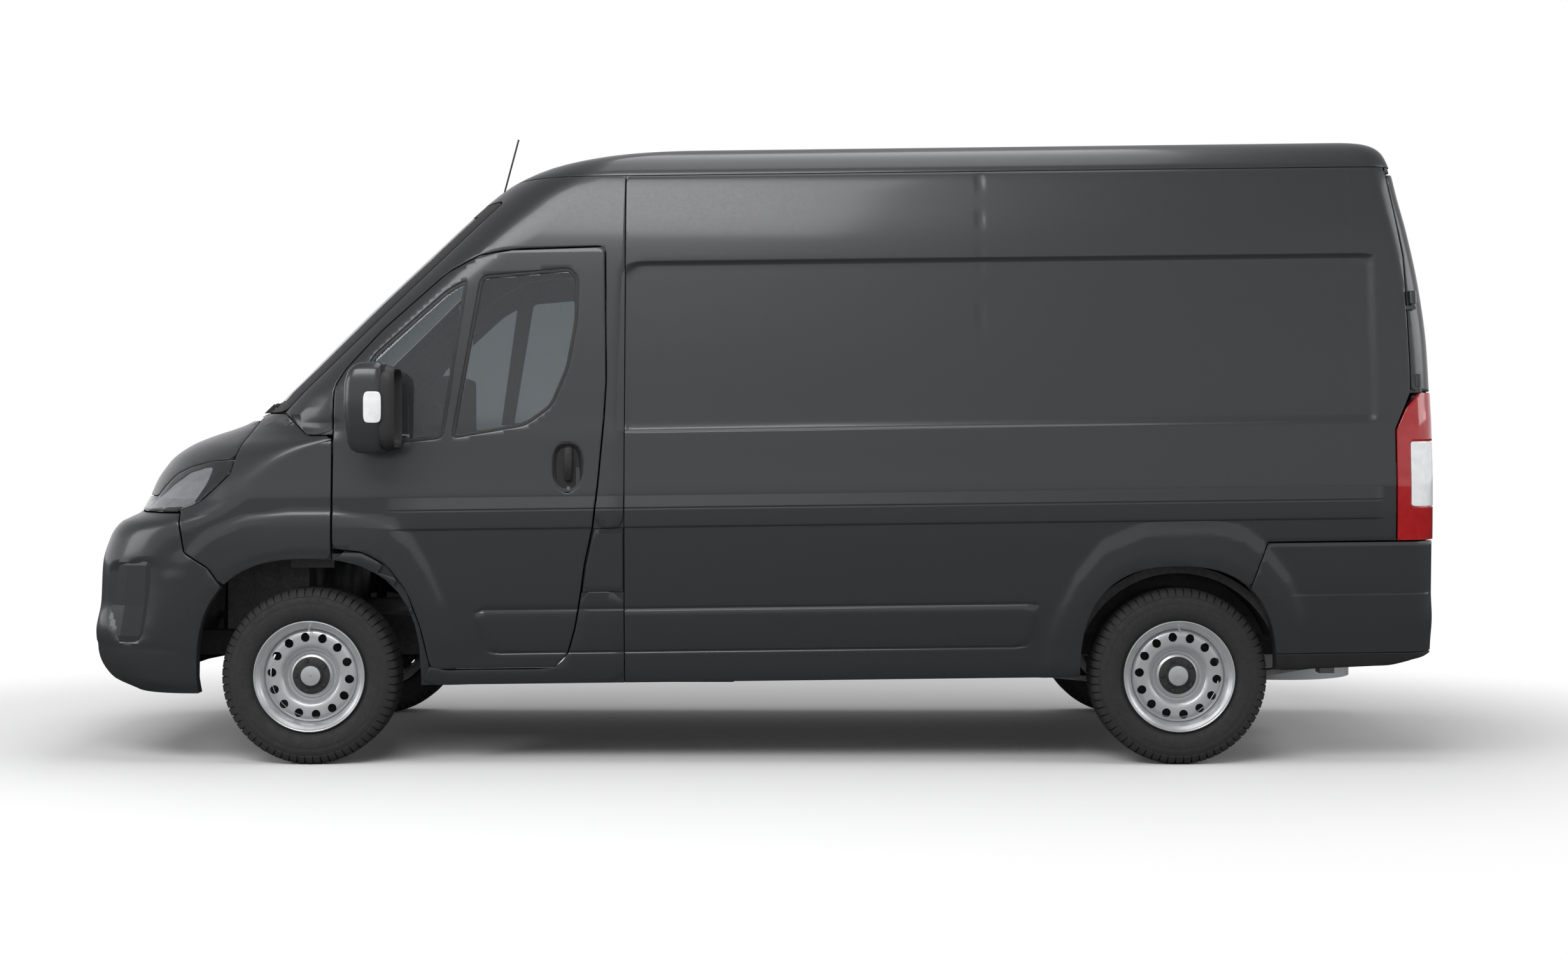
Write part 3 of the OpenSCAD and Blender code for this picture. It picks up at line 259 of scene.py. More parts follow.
CHROME = speckled(new_material("lamp_reflector", (0.8, 0.81, 0.82), 0.12, 1.0), 40, 0.9, 1.05)
GLASS = new_material("window_glass", (0.34, 0.37, 0.38), 0.02, Transmission_Weight=0.92,
                     IOR=1.45, Specular_IOR_Level=0.5)
CLEAR = new_material("lamp_cover", (0.95, 0.96, 0.97), 0.02, Transmission_Weight=1.0, IOR=1.3)


def dress(name, mat):
    """Gives a CAD node a finish."""
    mesh = nodes[name].data
    mesh.materials.clear()
    mesh.materials.append(mat)


def new_piece(name, mesh, body):
    """An object that rides on a body."""
    piece = bpy.data.objects.new(name, mesh)
    bpy.context.collection.objects.link(piece)
    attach(piece, body)
    return piece


# %% [markdown]
# ## The body as a smooth surface
# The solids were lofted through plan levels. The same levels are read here as smooth curves, so
# each panel can be drawn from a fine grid: height h, width, nose, nose depth, two powers and
# tail.

# %% Body levels
LEVELS = np.array([
    [290, 62, 140, 400, 2.2, 4, 40], [345, 42, 52, 420, 2.4, 4.6, 6],
    [430, 32, 11, 430, 2.5, 5, 4], [520, 22, 0, 430, 2.5, 5, 0],
    [640, 13, 22, 430, 2.5, 5, 6], [800, 5, 32, 430, 2.5, 5, 6],
    [905, 1, 64, 430, 2.5, 5, 6], [960, 0, 92, 440, 2.4, 4.4, 6],
    [1000, 0, 140, 480, 2.2, 3, 6], [1060, 0, 152, 560, 2, 2.6, 6],
    [1130, 6, 170, 600, 1.9, 2.4, 6], [1200, 11, 206, 640, 1.8, 2.2, 6],
    [1266, 15, 290, 680, 1.8, 2.2, 6], [1305, 18, 380, 740, 1.8, 2.2, 6],
    [1340, 22, 495, 640, 1.8, 2.2, 7], [1400, 27, 650, 480, 2.4, 2.4, 9],
    [1500, 34, 768, 455, 3, 2.4, 12], [1610, 42, 880, 455, 3, 2.4, 17],
    [1820, 60, 1093, 455, 3, 2.4, 40], [2060, 84, 1350, 460, 3, 2.4, 84],
    [2200, 108, 1500, 460, 3, 2.4, 116], [2330, 140, 1660, 450, 2.8, 2.4, 142],
    [2390, 176, 1785, 440, 2.6, 2.4, 162], [2420, 222, 1880, 460, 2.4, 2.4, 182],
    [2441, 290, 1965, 480, 2.2, 2.4, 212], [2455, 410, 2060, 500, 2, 2.2, 266],
    [2465, 610, 2190, 520, 2, 2.2, 366], [2471, 860, 2390, 560, 2, 2, 560],
], float)
LEVELS[:, [0, 1, 2, 3, 6]] /= 1000
MM = 0.001
CORNER_R = 0.110


def monotone_slopes(t, v):
    """Slopes of a smooth curve through the points that never overshoots them."""
    step = np.diff(t)
    rate = np.diff(v) / step
    slope = np.zeros(len(v))
    for k in range(1, len(v) - 1):
        if rate[k - 1] * rate[k] > 0:
            a, b = 2 * step[k] + step[k - 1], step[k] + 2 * step[k - 1]
            slope[k] = (a + b) / (a / rate[k - 1] + b / rate[k])
    slope[0], slope[-1] = rate[0], rate[-1]
    return slope


LEVEL_T = np.r_[0, np.cumsum(np.hypot(np.diff(LEVELS[:, 0]), np.diff(LEVELS[:, 1])))]
LEVEL_SLOPES = [monotone_slopes(LEVEL_T, LEVELS[:, c]) for c in range(7)]


def levels_at(t):
    """Every column of the level table at places t along it."""
    t = np.clip(np.asarray(t, float), 0, LEVEL_T[-1])
    k = np.clip(np.searchsorted(LEVEL_T, t, side="right") - 1, 0, len(LEVEL_T) - 2)
    step = LEVEL_T[k + 1] - LEVEL_T[k]
    s = (t - LEVEL_T[k]) / step
    rows = []
    for c in range(7):
        v, m = LEVELS[:, c], LEVEL_SLOPES[c]
        rows.append(
            v[k] * (2 * s**3 - 3 * s**2 + 1) + m[k] * step * (s**3 - 2 * s**2 + s)
            + v[k + 1] * (3 * s**2 - 2 * s**3) + m[k + 1] * step * (s**3 - s**2)
        )
    return np.array(rows)


FINE_T = np.linspace(0, LEVEL_T[-1], 4000)
FINE_H = levels_at(FINE_T)[0]


def at_height(h):
    """Level table columns at heights h."""
    return levels_at(np.interp(h, FINE_H, FINE_T))


def lay(points):
    """Tips the level body along its rake of 0.7 degrees."""
    points[..., 2] += RAKE * (points[..., 0] - AXLE_F)
    return points


def side_grid(xs, hs):
    """Left side of the body as a grid over length and height."""
    h, inset, nose, depth, m, n, _ = (c[:, None] for c in at_height(np.asarray(hs)))
    x = np.broadcast_to(np.asarray(xs)[None, :], (len(hs), len(xs)))
    part = np.clip((x - NOSE_X - nose) / depth, 0, 1)
    u = np.power(np.clip(1 - np.power(1 - part, m), 0, 1), 1 / n)
    y = -(HALF_W - inset) * u
    return lay(np.dstack([x, y, np.broadcast_to(h, x.shape)]))


def nose_curve(us, nose, depth, m, n):
    """Length at which the plan curve of the nose reaches the share us of the width."""
    return NOSE_X + nose + depth * (1 - np.power(1 - np.power(us, n), 1 / m))


def nose_grid(us, rows, x_end):
    """Nose of the body from the left side round to the right, as far back as x_end."""
    h, inset, nose, depth, m, n, _ = (c[:, None] for c in rows)
    us = np.asarray(us)[None, :]
    x = nose_curve(us, nose, depth, m, n)
    y = -(HALF_W - inset) * us
    back = np.linspace(0, 1, 26)[None, 1:]
    x_side = x[:, -1:] + (x_end - x[:, -1:]) * back
    y_side = np.broadcast_to(y[:, -1:], x_side.shape)
    x, y = np.hstack([x, x_side]), np.hstack([y, y_side])
    x, y = np.hstack([x[:, :0:-1], x]), np.hstack([-y[:, :0:-1], y])
    return lay(np.dstack([x, y, np.broadcast_to(h, x.shape)]))


def tail_grid(rows, x_start, side_cols=24, arc_cols=11, back_cols=40):
    """Left rear corner: side from x_start, the round corner, and the back to the middle."""
    h, inset, _, _, _, _, tail = (c[:, None] for c in rows)
    w, xr = HALF_W - inset, TAIL_X - tail
    r = np.minimum(CORNER_R, w * 0.6)
    f = np.linspace(0, 1, side_cols)[None, :]
    a = np.linspace(0, math.pi / 2, arc_cols)[None, 1:]
    g = np.linspace(0, 1, back_cols)[None, 1:]
    x = np.hstack([x_start + (xr - r - x_start) * f, xr - r + r * np.sin(a),
                   np.broadcast_to(xr, (len(h), back_cols - 1))])
    y = np.hstack([np.broadcast_to(-w, (len(h), side_cols)), -w + r - r * np.cos(a),
                   (-w + r) * (1 - g)])
    return lay(np.dstack([x, y, np.broadcast_to(h, x.shape)]))


def grid_normals(P):
    """Unit normals of a grid, pointing out of the body."""
    n = np.cross(np.gradient(P, axis=1), np.gradient(P, axis=0))
    return n / np.maximum(np.linalg.norm(n, axis=2, keepdims=True), 1e-12)


print(len(LEVELS), "levels read as", len(FINE_T), "fine steps")


# %% [markdown]
# ## Clipping a grid to an outline
# A panel is the part of a grid where a signed distance is positive. The distances come from the
# panel's side outline, so seams keep an even gap. The cut edge is rolled over, then turned
# inwards.

# %% Outlines and clipping
ROLL = 0.0025


def outline_distance(x, h, outline):
    """Signed distance from places (x, h) to a closed outline, positive inside."""
    pts = np.asarray(outline, float)
    ends = np.roll(pts, -1, axis=0)
    best = np.full(x.shape, 1e9)
    inside = np.zeros(x.shape, bool)
    for (ax, ah), (bx, bh) in zip(pts, ends):
        ex, eh = bx - ax, bh - ah
        t = np.clip(((x - ax) * ex + (h - ah) * eh) / max(ex * ex + eh * eh, 1e-12), 0, 1)
        best = np.minimum(best, np.hypot(x - ax - t * ex, h - ah - t * eh))
        crosses = (ah > h) != (bh > h)
        inside ^= crosses & (x < ax + (h - ah) * ex / (eh if eh else 1e-12))
    return np.where(inside, best, -best)


def rounded(outline, radius, steps=5):
    """An outline with its corners rounded, by points along small arcs."""
    pts = [np.array(p, float) for p in outline]
    result = []
    for k, p in enumerate(pts):
        a, b = pts[k - 1] - p, pts[(k + 1) % len(pts)] - p
        la, lb = np.linalg.norm(a), np.linalg.norm(b)
        cut = min(radius, la * 0.45, lb * 0.45)
        p0, p1 = p + a / la * cut, p + b / lb * cut
        for s in np.linspace(0, 1, steps):
            result.append((1 - s) ** 2 * p0 + 2 * s * (1 - s) * p + s * s * p1)
    return np.array(result)


def clip_grid(P, D):
    """Points and faces of the part of grid P where D is positive."""
    rows, cols = D.shape
    index = -np.ones((rows, cols), int)
    keep = D > 0
    index[keep] = np.arange(keep.sum())
    points = list(P[keep])
    faces, made = [], {}

    def crossing(a, b):
        key = (a, b) if a < b else (b, a)
        if key not in made:
            da, db = D[key[0]], D[key[1]]
            t = np.clip(da / (da - db), 0.02, 0.98)
            made[key] = len(points)
            points.append(P[key[0]] * (1 - t) + P[key[1]] * t)
        return made[key]

    count = keep[:-1, :-1].astype(int) + keep[1:, :-1] + keep[:-1, 1:] + keep[1:, 1:]
    for i, j in np.argwhere(count == 4):
        faces.append((index[i, j], index[i, j + 1], index[i + 1, j + 1], index[i + 1, j]))
    for i, j in np.argwhere((count > 0) & (count < 4)):
        ring = [(i, j), (i, j + 1), (i + 1, j + 1), (i + 1, j)]
        face = []
        for a, b in zip(ring, ring[1:] + ring[:1]):
            if keep[a]:
                face.append(index[a])
            if keep[a] != keep[b]:
                face.append(crossing(a, b))
        if len(face) > 2:
            faces.append(tuple(face))
    return np.array(points), faces


def make_piece(name, points, faces, mat, body, sharp=35):
    """A smooth shaded object riding on a body."""
    mesh = bpy.data.meshes.new(name)
    mesh.from_pydata([tuple(p) for p in points], [], [tuple(int(i) for i in f) for f in faces])
    mesh.polygons.foreach_set("use_smooth", np.ones(len(mesh.polygons), bool))
    mesh.validate()
    mesh.set_sharp_from_angle(angle=math.radians(sharp))
    mesh.materials.append(mat)
    return new_piece(name, mesh, body)


def shell(points, faces, depth, roll=ROLL):
    """A closed panel: rolled edges, a rim of the given depth and an inner face."""
    normals = np.zeros_like(points)
    for f in faces:
        a, b, c = points[f[0]], points[f[1]], points[f[2]]
        if len(f) > 3:
            n = np.cross(points[f[2]] - a, points[f[3]] - b)
        else:
            n = np.cross(b - a, c - a)
        for i in f:
            normals[i] += n
    normals /= np.maximum(np.linalg.norm(normals, axis=1, keepdims=True), 1e-12)
    edges = {}
    for f in faces:
        for a, b in zip(f, f[1:] + f[:1]):
            if (b, a) in edges:
                del edges[(b, a)]
            else:
                edges[(a, b)] = True
    away = np.zeros_like(points)
    for a, b in edges:
        side = np.cross(points[b] - points[a], normals[a] + normals[b])
        side /= max(np.linalg.norm(side), 1e-12)
        away[a] += side
        away[b] += side
    rim = np.array(sorted({i for e in edges for i in e}))
    size = np.linalg.norm(away[rim], axis=1, keepdims=True)
    away[rim] /= np.maximum(size, 1e-9)
    p, n, t = points[rim], normals[rim], away[rim]
    rings = [p + t * 0.7 * roll - n * 0.3 * roll, p + t * roll - n * roll,
             p + t * roll - n * depth]
    inner = points - normals * depth
    inner[rim] = rings[2]
    base = len(points)
    where = {v: k for k, v in enumerate(rim)}
    m = len(rim)
    all_points = np.vstack([points, rings[0], rings[1], inner])
    start = base + 2 * m
    rim_faces = []
    for a, b in edges:
        ka, kb = where[a], where[b]
        chain_a = [a, base + ka, base + m + ka, start + a]
        chain_b = [b, base + kb, base + m + kb, start + b]
        for s in range(3):
            rim_faces.append((chain_b[s], chain_a[s], chain_a[s + 1], chain_b[s + 1]))
    inner_faces = [tuple(start + i for i in reversed(f)) for f in faces]
    return all_points, list(faces) + rim_faces, inner_faces


def panel(name, P, D, mat, body, depth, mirror=False, roll=ROLL):
    """A panel from a grid and its signed distance, as one closed piece."""
    points, faces = clip_grid(P, D - roll)
    points, outer, inner = shell(points, faces, depth, roll)
    faces = outer + inner
    if mirror:
        points = points * (1, -1, 1)
        faces = [f[::-1] for f in faces]
    return make_piece(name, points, faces, mat, body)


def least(*fields):
    """Smallest of several fields at every place: where all of them are positive."""
    return reduce(np.minimum, fields)


print("panels roll their edges over", ROLL / MM, "mm")

# %% [markdown]
# ## Side relief
# Pressed shapes move the surface in or out along its normal: the sunk upper field, the waist
# moulding, the rub panel above the sill, the seams, and the flares around the wheels.

# %% Side relief


def mm_line(*pairs):
    """Outline points from millimetres to metres."""
    return np.array(pairs, float) * MM


FX, AF, RX = NOSE_X * 1000, AXLE_F * 1000, TAIL_X * 1000
BX = -579 + 72
GX = RX - 106
RECESS = rounded(mm_line((BX - 12, 1300), (GX - 133, 1306), (GX - 140, 1975), (GX - 175, 1982),
                         (BX + 40, 1984), (BX - 20, 1944)), 0.03)
RUB = rounded(mm_line((-1110, 608), (1140, 608), (1094, 436), (-1054, 436)), 0.05)
FRONT_FLARE = mm_line((-2420, 300), (-2400, 560), (-2330, 760), (-2160, 926), (-2006, 995),
                      (-1826, 1012), (-1659, 1010), (-1531, 989), (-1416, 957), (-1338, 891),
                      (-1274, 787), (-1210, 640), (-1180, 480), (-1170, 300))
REAR_FLARE = mm_line((1130, 300), (1160, 480), (1204, 588), (1270, 716), (1372, 842),
                     (1564, 921), (1821, 924), (1949, 884), (2030, 820), (2130, 690),
                     (2190, 540), (2210, 300))


def smooth_step(v, low, high):
    """Eases from 0 at low to 1 at high."""
    s = np.clip((v - low) / (high - low), 0, 1)
    return s * s * (3 - 2 * s)


def arch_outline(xc, r, flat, grow=0.0):
    """Wheel arch as a closed outline in level coordinates."""
    a = np.radians(np.linspace(-30, 210, 97))
    x = xc + (r + grow) * np.sign(np.cos(a)) * np.abs(np.cos(a)) ** 0.8
    z = TYRE_R + (r * flat + grow) * np.sign(np.sin(a)) * np.abs(np.sin(a)) ** 0.76
    return np.column_stack([x, z - RAKE * (x - AXLE_F)])


FRONT_ARCH = arch_outline(AXLE_F + 0.003, 0.443, 1.06)
REAR_ARCH = arch_outline(AXLE_R - 0.008, 0.388, 1.134)
FLARE_RISE = 0.013


def flare(x, h, outline, arch):
    """Swelling between a flare's crease and the wheel opening."""
    d_out = outline_distance(x, h, outline)
    d_in = -outline_distance(x, h, arch)
    lip = smooth_step(d_in, 0.018, 0.030)
    share = np.clip(d_out / np.maximum(d_out + np.maximum(d_in, 0), 1e-6), 0, 1)
    crease = smooth_step(d_out, -0.004, 0.030)
    swell = FLARE_RISE * crease * (0.55 + 0.45 * share) * (0.75 + 0.25 * lip)
    return np.where(d_out > -0.01, swell, 0)


def side_relief(x, h):
    """How far the side stands out of the lofted body."""
    out = -0.009 * smooth_step(outline_distance(x, h, RECESS), 0.0, 0.016)
    along = smooth_step(x, -1.46, -1.30) * (1 - smooth_step(x, 2.462, 2.476))
    band = np.interp(h, [0.926, 0.932, 0.998, 1.003, 1.008, 1.051, 1.053],
                     [0, 0.007, 0.008, 0.0068, 0.0085, 0.0005, 0])
    out = out + band * along
    d = outline_distance(x, h, RUB)
    out = out + 0.004 * smooth_step(d, 0.004, 0.010) - 0.004 * np.exp(-((d / 0.004) ** 2))
    for seam in (0.905, 2.356):
        line = np.exp(-(((x - seam) / 0.003) ** 2)) * smooth_step(h, 0.84, 0.86)
        out = out - 0.003 * line * (h < 2.4)
    out = out + flare(x, h, FRONT_FLARE, FRONT_ARCH)
    out = out + flare(x, h, REAR_FLARE, REAR_ARCH)
    return out


def mesh_rows(low, high, step, marks=()):
    """Row heights: an even spread, with close rows around each mark."""
    rows = list(np.arange(low, high, step)) + [high]
    for mark in marks:
        rows += [mark + k * 0.0025 for k in (-3, -2, -1, 0, 1, 2, 3)]
    rows = np.unique(np.round([r for r in rows if low <= r <= high], 5))
    return rows[np.r_[True, np.diff(rows) > 0.0015]]


BAND_MARKS = (0.929, 1.003, 1.051)
SIDE_MARKS = BAND_MARKS + (0.436, 0.608, 1.304, 1.978)
LIFT = 0.0025
SKIN = 0.007


def plain(P):
    """Length, level height and distance from the middle of every grid point."""
    return P[..., 0], P[..., 2] - RAKE * (P[..., 0] - AXLE_F), np.abs(P[..., 1])


def lifted(P, relief=None, lift=LIFT):
    """A grid moved out along its normals by a lift and a relief."""
    n = grid_normals(P)
    x, h, _ = plain(P)
    move = np.full(x.shape, lift)
    if relief is not None:
        move = move + relief(x, h) * smooth_step(np.abs(n[..., 1]), 0.6, 0.9)
    return P + n * move[..., None]


print(len(BAND_MARKS), "pressed lines along the side,", len(SIDE_MARKS), "marks for rows")

# %% [markdown]
# ## Panels
# Each outline is the seam of one panel in the side view. A skin follows its solid and rides with
# it.

# %% Panels
DOOR_X = -579
DOOR = rounded(mm_line(
    (AF + 100, 857), (AF + 100, 1496), (AF + 142, 1567), (AF + 286, 1722), (AF + 543, 1948),
    (AF + 672, 2015), (AF + 800, 2036), (DOOR_X - 7, 2044), (DOOR_X, 1508), (DOOR_X - 9, 1355),
    (DOOR_X - 32, 1098), (DOOR_X - 52, 929), (DOOR_X - 85, 777), (DOOR_X - 98, 677),
    (DOOR_X - 122, 533), (DOOR_X - 155, 421), (DOOR_X - 203, 373), (AF + 484, 374),
    (AF + 445, 544), (AF + 394, 685), (AF + 317, 789), (AF + 227, 842)), 0.03)
QUARTER = rounded(mm_line((AF + 205, 1500), (AF + 250, 1616), (AF + 543, 1876), (AF + 630, 1922),
                          (AF + 536, 1286), (AF + 310, 1266)), 0.03)
DROP_GLASS = rounded(mm_line(
    (AF + 678, 1932), (DOOR_X - 145, 1960), (DOOR_X - 110, 1920), (DOOR_X - 115, 1741),
    (DOOR_X - 148, 1560), (DOOR_X - 213, 1407), (DOOR_X - 315, 1334), (AF + 566, 1285)), 0.03)
SIDE = mm_line((BX, 310), (RX - 765, 310), (RX - 765, 600), (RX - 674, 840), (GX - 62, 840),
               (GX - 62, 1280), (GX - 22, 1370), (GX, 1424), (GX, 1500), (GX - 16, 1964),
               (GX - 74, 2330), (BX, 2330))
SLIDE = rounded(mm_line((BX + 45, 372), (BX + 45, 2290), (BX + 1210, 2290), (BX + 1250, 2240),
                        (BX + 1250, 900), (BX + 1210, 372)), 0.03)
CAB = mm_line((AF - 114, 1396), (AF - 11, 1308), (AF + 99, 1306), (AF + 99, 780), (AF + 330, 640),
              (AF + 400, 310), (BX, 310), (BX, 2330), (FX, 2330), (FX, 1384), (FX + 692, 1384),
              (FX + 697, 1401))
FLAP = mm_line((BX - 5, 676), (BX - 5, 926), (DOOR_X - 46, 924), (DOOR_X - 78, 777),
               (DOOR_X - 92, 676))
SCREEN = mm_line((FX - 100, 1400), (AF - 120, 1400), (AF + 755, 2242), (FX - 100, 2242))
BONNET = mm_line((FX - 100, 1066), (FX + 290, 1066), (FX + 338, 1120), (FX + 375, 1154),
                 (FX + 447, 1184), (FX + 546, 1206), (FX + 649, 1214), (FX + 666, 1290),
                 (FX + 688, 1372), (FX - 100, 1372))
WING = mm_line((FX + 649, 1214), (FX + 666, 1290), (FX + 688, 1372), (FX + 694, 1398),
               (AF - 112, 1394), (AF - 10, 1306), (AF + 97, 1304), (AF + 97, 780),
               (AF, 703), (FX + 621, 703), (FX + 561, 789), (FX + 465, 850), (FX + 440, 1008),
               (FX + 430, 1014), (FX + 465, 1026), (FX + 523, 1050), (FX + 569, 1092),
               (FX + 638, 1158))
BUMPER = mm_line((FX - 100, 280), (FX - 100, 1004), (FX + 437, 1004), (FX + 463, 848),
                 (FX + 560, 786), (FX + 620, 700), (AF, 700), (AF, 280))
LAMP = mm_line((FX - 100, 1008), (FX - 100, 1066), (FX + 290, 1066), (FX + 338, 1120),
               (FX + 375, 1154), (FX + 447, 1184), (FX + 546, 1206), (FX + 649, 1214),
               (FX + 638, 1158), (FX + 569, 1092), (FX + 523, 1050), (FX + 465, 1026),
               (FX + 430, 1014), (FX + 420, 1008))
TAIL_LAMP = mm_line((GX - 59, 840), (GX - 59, 1278), (GX - 19, 1362), (GX + 36, 1424),
                    (RX + 100, 1424), (RX + 100, 840))
REAR_BUMPER = mm_line((RX - 765, 340), (RX - 765, 600), (RX - 674, 837), (RX + 100, 837),
                      (RX + 100, 415), (RX - 180, 345), (RX - 640, 330))
SEAM, SHUT = 0.0015, 0.003
SIDES = (("left", False), ("right", True))
U_FINE = 1 - (1 - np.linspace(0, 1, 44)) ** 1.8


def body_part(name, P, D, body, mirror=False):
    """A painted skin over one solid."""
    return panel(name, lifted(P, side_relief), D, PAINT, body, SKIN, mirror)


rows = mesh_rows(0.31, 2.33, 0.022, SIDE_MARKS)
P = tail_grid(at_height(rows), BX * MM - 0.004, 190, 12, 3)
x, h, _ = plain(P)
arch_gap = -outline_distance(x, h, REAR_ARCH)
side = np.minimum(outline_distance(x, h, SIDE) - SEAM, arch_gap)
body_part("side_skin_left", P, side, "van_body")
around = np.minimum(side, -outline_distance(x, h, SLIDE) - SHUT)
body_part("side_skin_right", P, around, "van_body", mirror=True)
sliding = np.minimum(outline_distance(x, h, SLIDE) - SHUT, arch_gap)
body_part("sliding_door_skin", P, sliding, "van_body", mirror=True)
print("load space sides:", P.shape[:2], "grid")

rows = mesh_rows(0.37, 2.05, 0.022, BAND_MARKS + (0.436, 0.608))
xs = np.linspace(AXLE_F + 0.095, (DOOR_X + 4) * MM, 90)
P = side_grid(xs, rows)
x, h, _ = plain(P)
pocket = np.hypot((x - (DOOR_X - 151) * MM) / 0.060, (h - 1.166) / 0.098) - 1
door = least(outline_distance(x, h, DOOR) - SHUT, -outline_distance(x, h, QUARTER),
             -outline_distance(x, h, DROP_GLASS), pocket * 0.06)
for side_name, flip in SIDES:
    body_part("cab_door_skin_" + side_name, P, door, "cab_door_" + side_name, mirror=flip)
print("cab doors:", P.shape[:2], "grid")

rows = mesh_rows(0.31, 2.33, 0.030, BAND_MARKS + (0.436, 0.608))
P = nose_grid(U_FINE, at_height(rows), BX * MM)
x, h, _ = plain(P)
flap_gap = np.where(P[..., 1] < 0, -outline_distance(x, h, FLAP) - 0.001, 1)
cab = least(outline_distance(x, h, CAB) - SEAM, -outline_distance(x, h, DOOR) - SHUT,
            -outline_distance(x, h, SCREEN) - SEAM, flap_gap,
            -outline_distance(x, h, FRONT_ARCH))
body_part("cab_skin", P, cab, "van_body")

FOG = rounded(mm_line((-2560, 806), (-2488, 812), (-2372, 826), (-2392, 640), (-2420, 488),
                      (-2520, 480), (-2575, 600)), 0.04)


def nose_relief(P):
    """Pressed shapes of the bumper: the fog lamp field, the step bar and the lower lip."""
    x, h, across = plain(P)
    front = 1 - smooth_step(x, -2.33, -2.20)
    d = np.minimum(outline_distance(x, h, FOG), across - 0.62)
    out = -0.012 * smooth_step(d, 0.0, 0.016)
    out = out - 0.006 * np.exp(-(((h - 0.470) / 0.007) ** 2)) * (1 - smooth_step(x, -2.30, -2.16))
    out = out - 0.010 * smooth_step(h, 0.60, 0.63) * (1 - smooth_step(h, 0.80, 0.83)) * (
        across < 0.46)
    return out * front


rows = mesh_rows(0.28, 1.42, 0.014, (1.003, 1.051))
P = nose_grid(U_FINE, at_height(rows), AXLE_F + 0.10)
x, h, across = plain(P)
front_arch_gap = -outline_distance(x, h, FRONT_ARCH)
bumper = np.minimum(outline_distance(x, h, BUMPER) - SEAM, front_arch_gap)
for low, high, reach in ((0.347, 0.455, 0.600), (0.610, 0.803, 0.430)):
    intake = least(h - low, high - h, reach - across)
    bumper = np.minimum(bumper, -intake)
pressed = lifted(P, side_relief) + grid_normals(P) * nose_relief(P)[..., None]
panel("front_bumper_skin", pressed, bumper, PAINT, "van_body", SKIN)
wing = np.minimum(outline_distance(x, h, WING) - SEAM, front_arch_gap)
body_part("wing_skins", P, np.minimum(wing, across - 0.602), "van_body")
bonnet = np.minimum(outline_distance(x, h, BONNET), (FX + 679) * MM - x)
body_part("bonnet_skin", P, bonnet - SHUT, "bonnet")
print("front panels:", P.shape[:2], "grid")

# %% Roof
ROOF_FROM = 2.3315


def ring_grid(rows, side_cols=80):
    """Closed rings round the whole body, from the nose by the left side to the tail and back."""
    h, inset, nose, depth, m, n, tail = (c[:, None] for c in rows)
    w, xr = HALF_W - inset, TAIL_X - tail
    r = np.minimum(CORNER_R, w * 0.6)
    us = U_FINE[None, :]
    x0 = nose_curve(us, nose, depth, m, n)
    f = np.linspace(0, 1, side_cols)[None, 1:]
    a = np.linspace(0, math.pi / 2, 10)[None, 1:]
    g = np.linspace(0, 1, 16)[None, 1:]
    full = np.ones_like(f)
    x = np.hstack([x0, x0[:, -1:] + (xr - r - x0[:, -1:]) * f, xr - r + r * np.sin(a),
                   np.repeat(xr, g.shape[1], 1)])
    y = np.hstack([-w * us, -w * full, -w + r - r * np.cos(a), (-w + r) * (1 - g)])
    x, y = np.hstack([x, x[:, -2::-1]]), np.hstack([y, -y[:, -2::-1]])
    return lay(np.dstack([x, y, np.broadcast_to(h, x.shape)]))


gutter_t = np.interp(ROOF_FROM, FINE_H, FINE_T)
P = ring_grid(levels_at(gutter_t + (LEVEL_T[-1] - gutter_t) * np.linspace(0, 1, 34)))
last = P[-1]
spine = last.copy()
spine[:, 0] = np.clip(last[:, 0], 0.25, 1.70)
spine[:, 1] = 0
spine[:, 2] = last[:, 2] + RAKE * (spine[:, 0] - last[:, 0]) + 0.003
P = np.concatenate([P, [last * (1 - f) + spine * f for f in np.linspace(0, 1, 15)[1:]]])


def roof_relief(x):
    """Shallow ribs pressed across the roof."""
    wave = np.cos((x - 0.4) / 0.36 * 2 * math.pi)
    return -0.004 * smooth_step(wave, 0.2, 0.7) * smooth_step(x, -0.35, -0.2) * (x < 2.3)


x, h, across = plain(P)
n = grid_normals(P)
rib = roof_relief(x) * smooth_step(h, 2.46, 2.468) * (1 - smooth_step(across, 0.52, 0.62))
P = P + n * (LIFT * np.clip((2.47 - h) / 0.02, 0.2, 1))[..., None]
P[..., 2] += rib
points, faces = clip_grid(P, np.ones(P.shape[:2]))
points, outer, _ = shell(points, faces, SKIN, 0.001)
make_piece("roof_skin", points, outer, PAINT, "van_body", 50)
print("roof:", P.shape[:2], "grid")

# %% [markdown]
# ## Tail
# The rear doors, the tall lamps and the bumper wrap the rear corner.

# %% Tail
REAR_ZONE = mm_line((GX, 1424), (GX, 1500), (GX - 16, 1964), (GX - 71, 2302), (RX + 60, 2302),
                    (RX + 60, 1424))
LAMP_Y, POST_Y = HALF_W - 0.160, HALF_W - 0.230
DOOR_LOW, DOOR_HIGH = 0.554, 2.302
rows = mesh_rows(DOOR_LOW, DOOR_HIGH, 0.024)
P = tail_grid(at_height(rows), 2.30, 14, 14, 44)
x, h, across = plain(P)
low = least(x - (RX - 92) * MM, LAMP_Y - 0.012 - across, 1.470 - h)
high = least(x - (RX - 280) * MM, POST_Y - 0.006 - across, h - 1.40)
door = np.maximum(np.maximum(outline_distance(x, h, REAR_ZONE), low), high)
door = least(least(door, h - DOOR_LOW, DOOR_HIGH - h) - SHUT, across - 0.003)


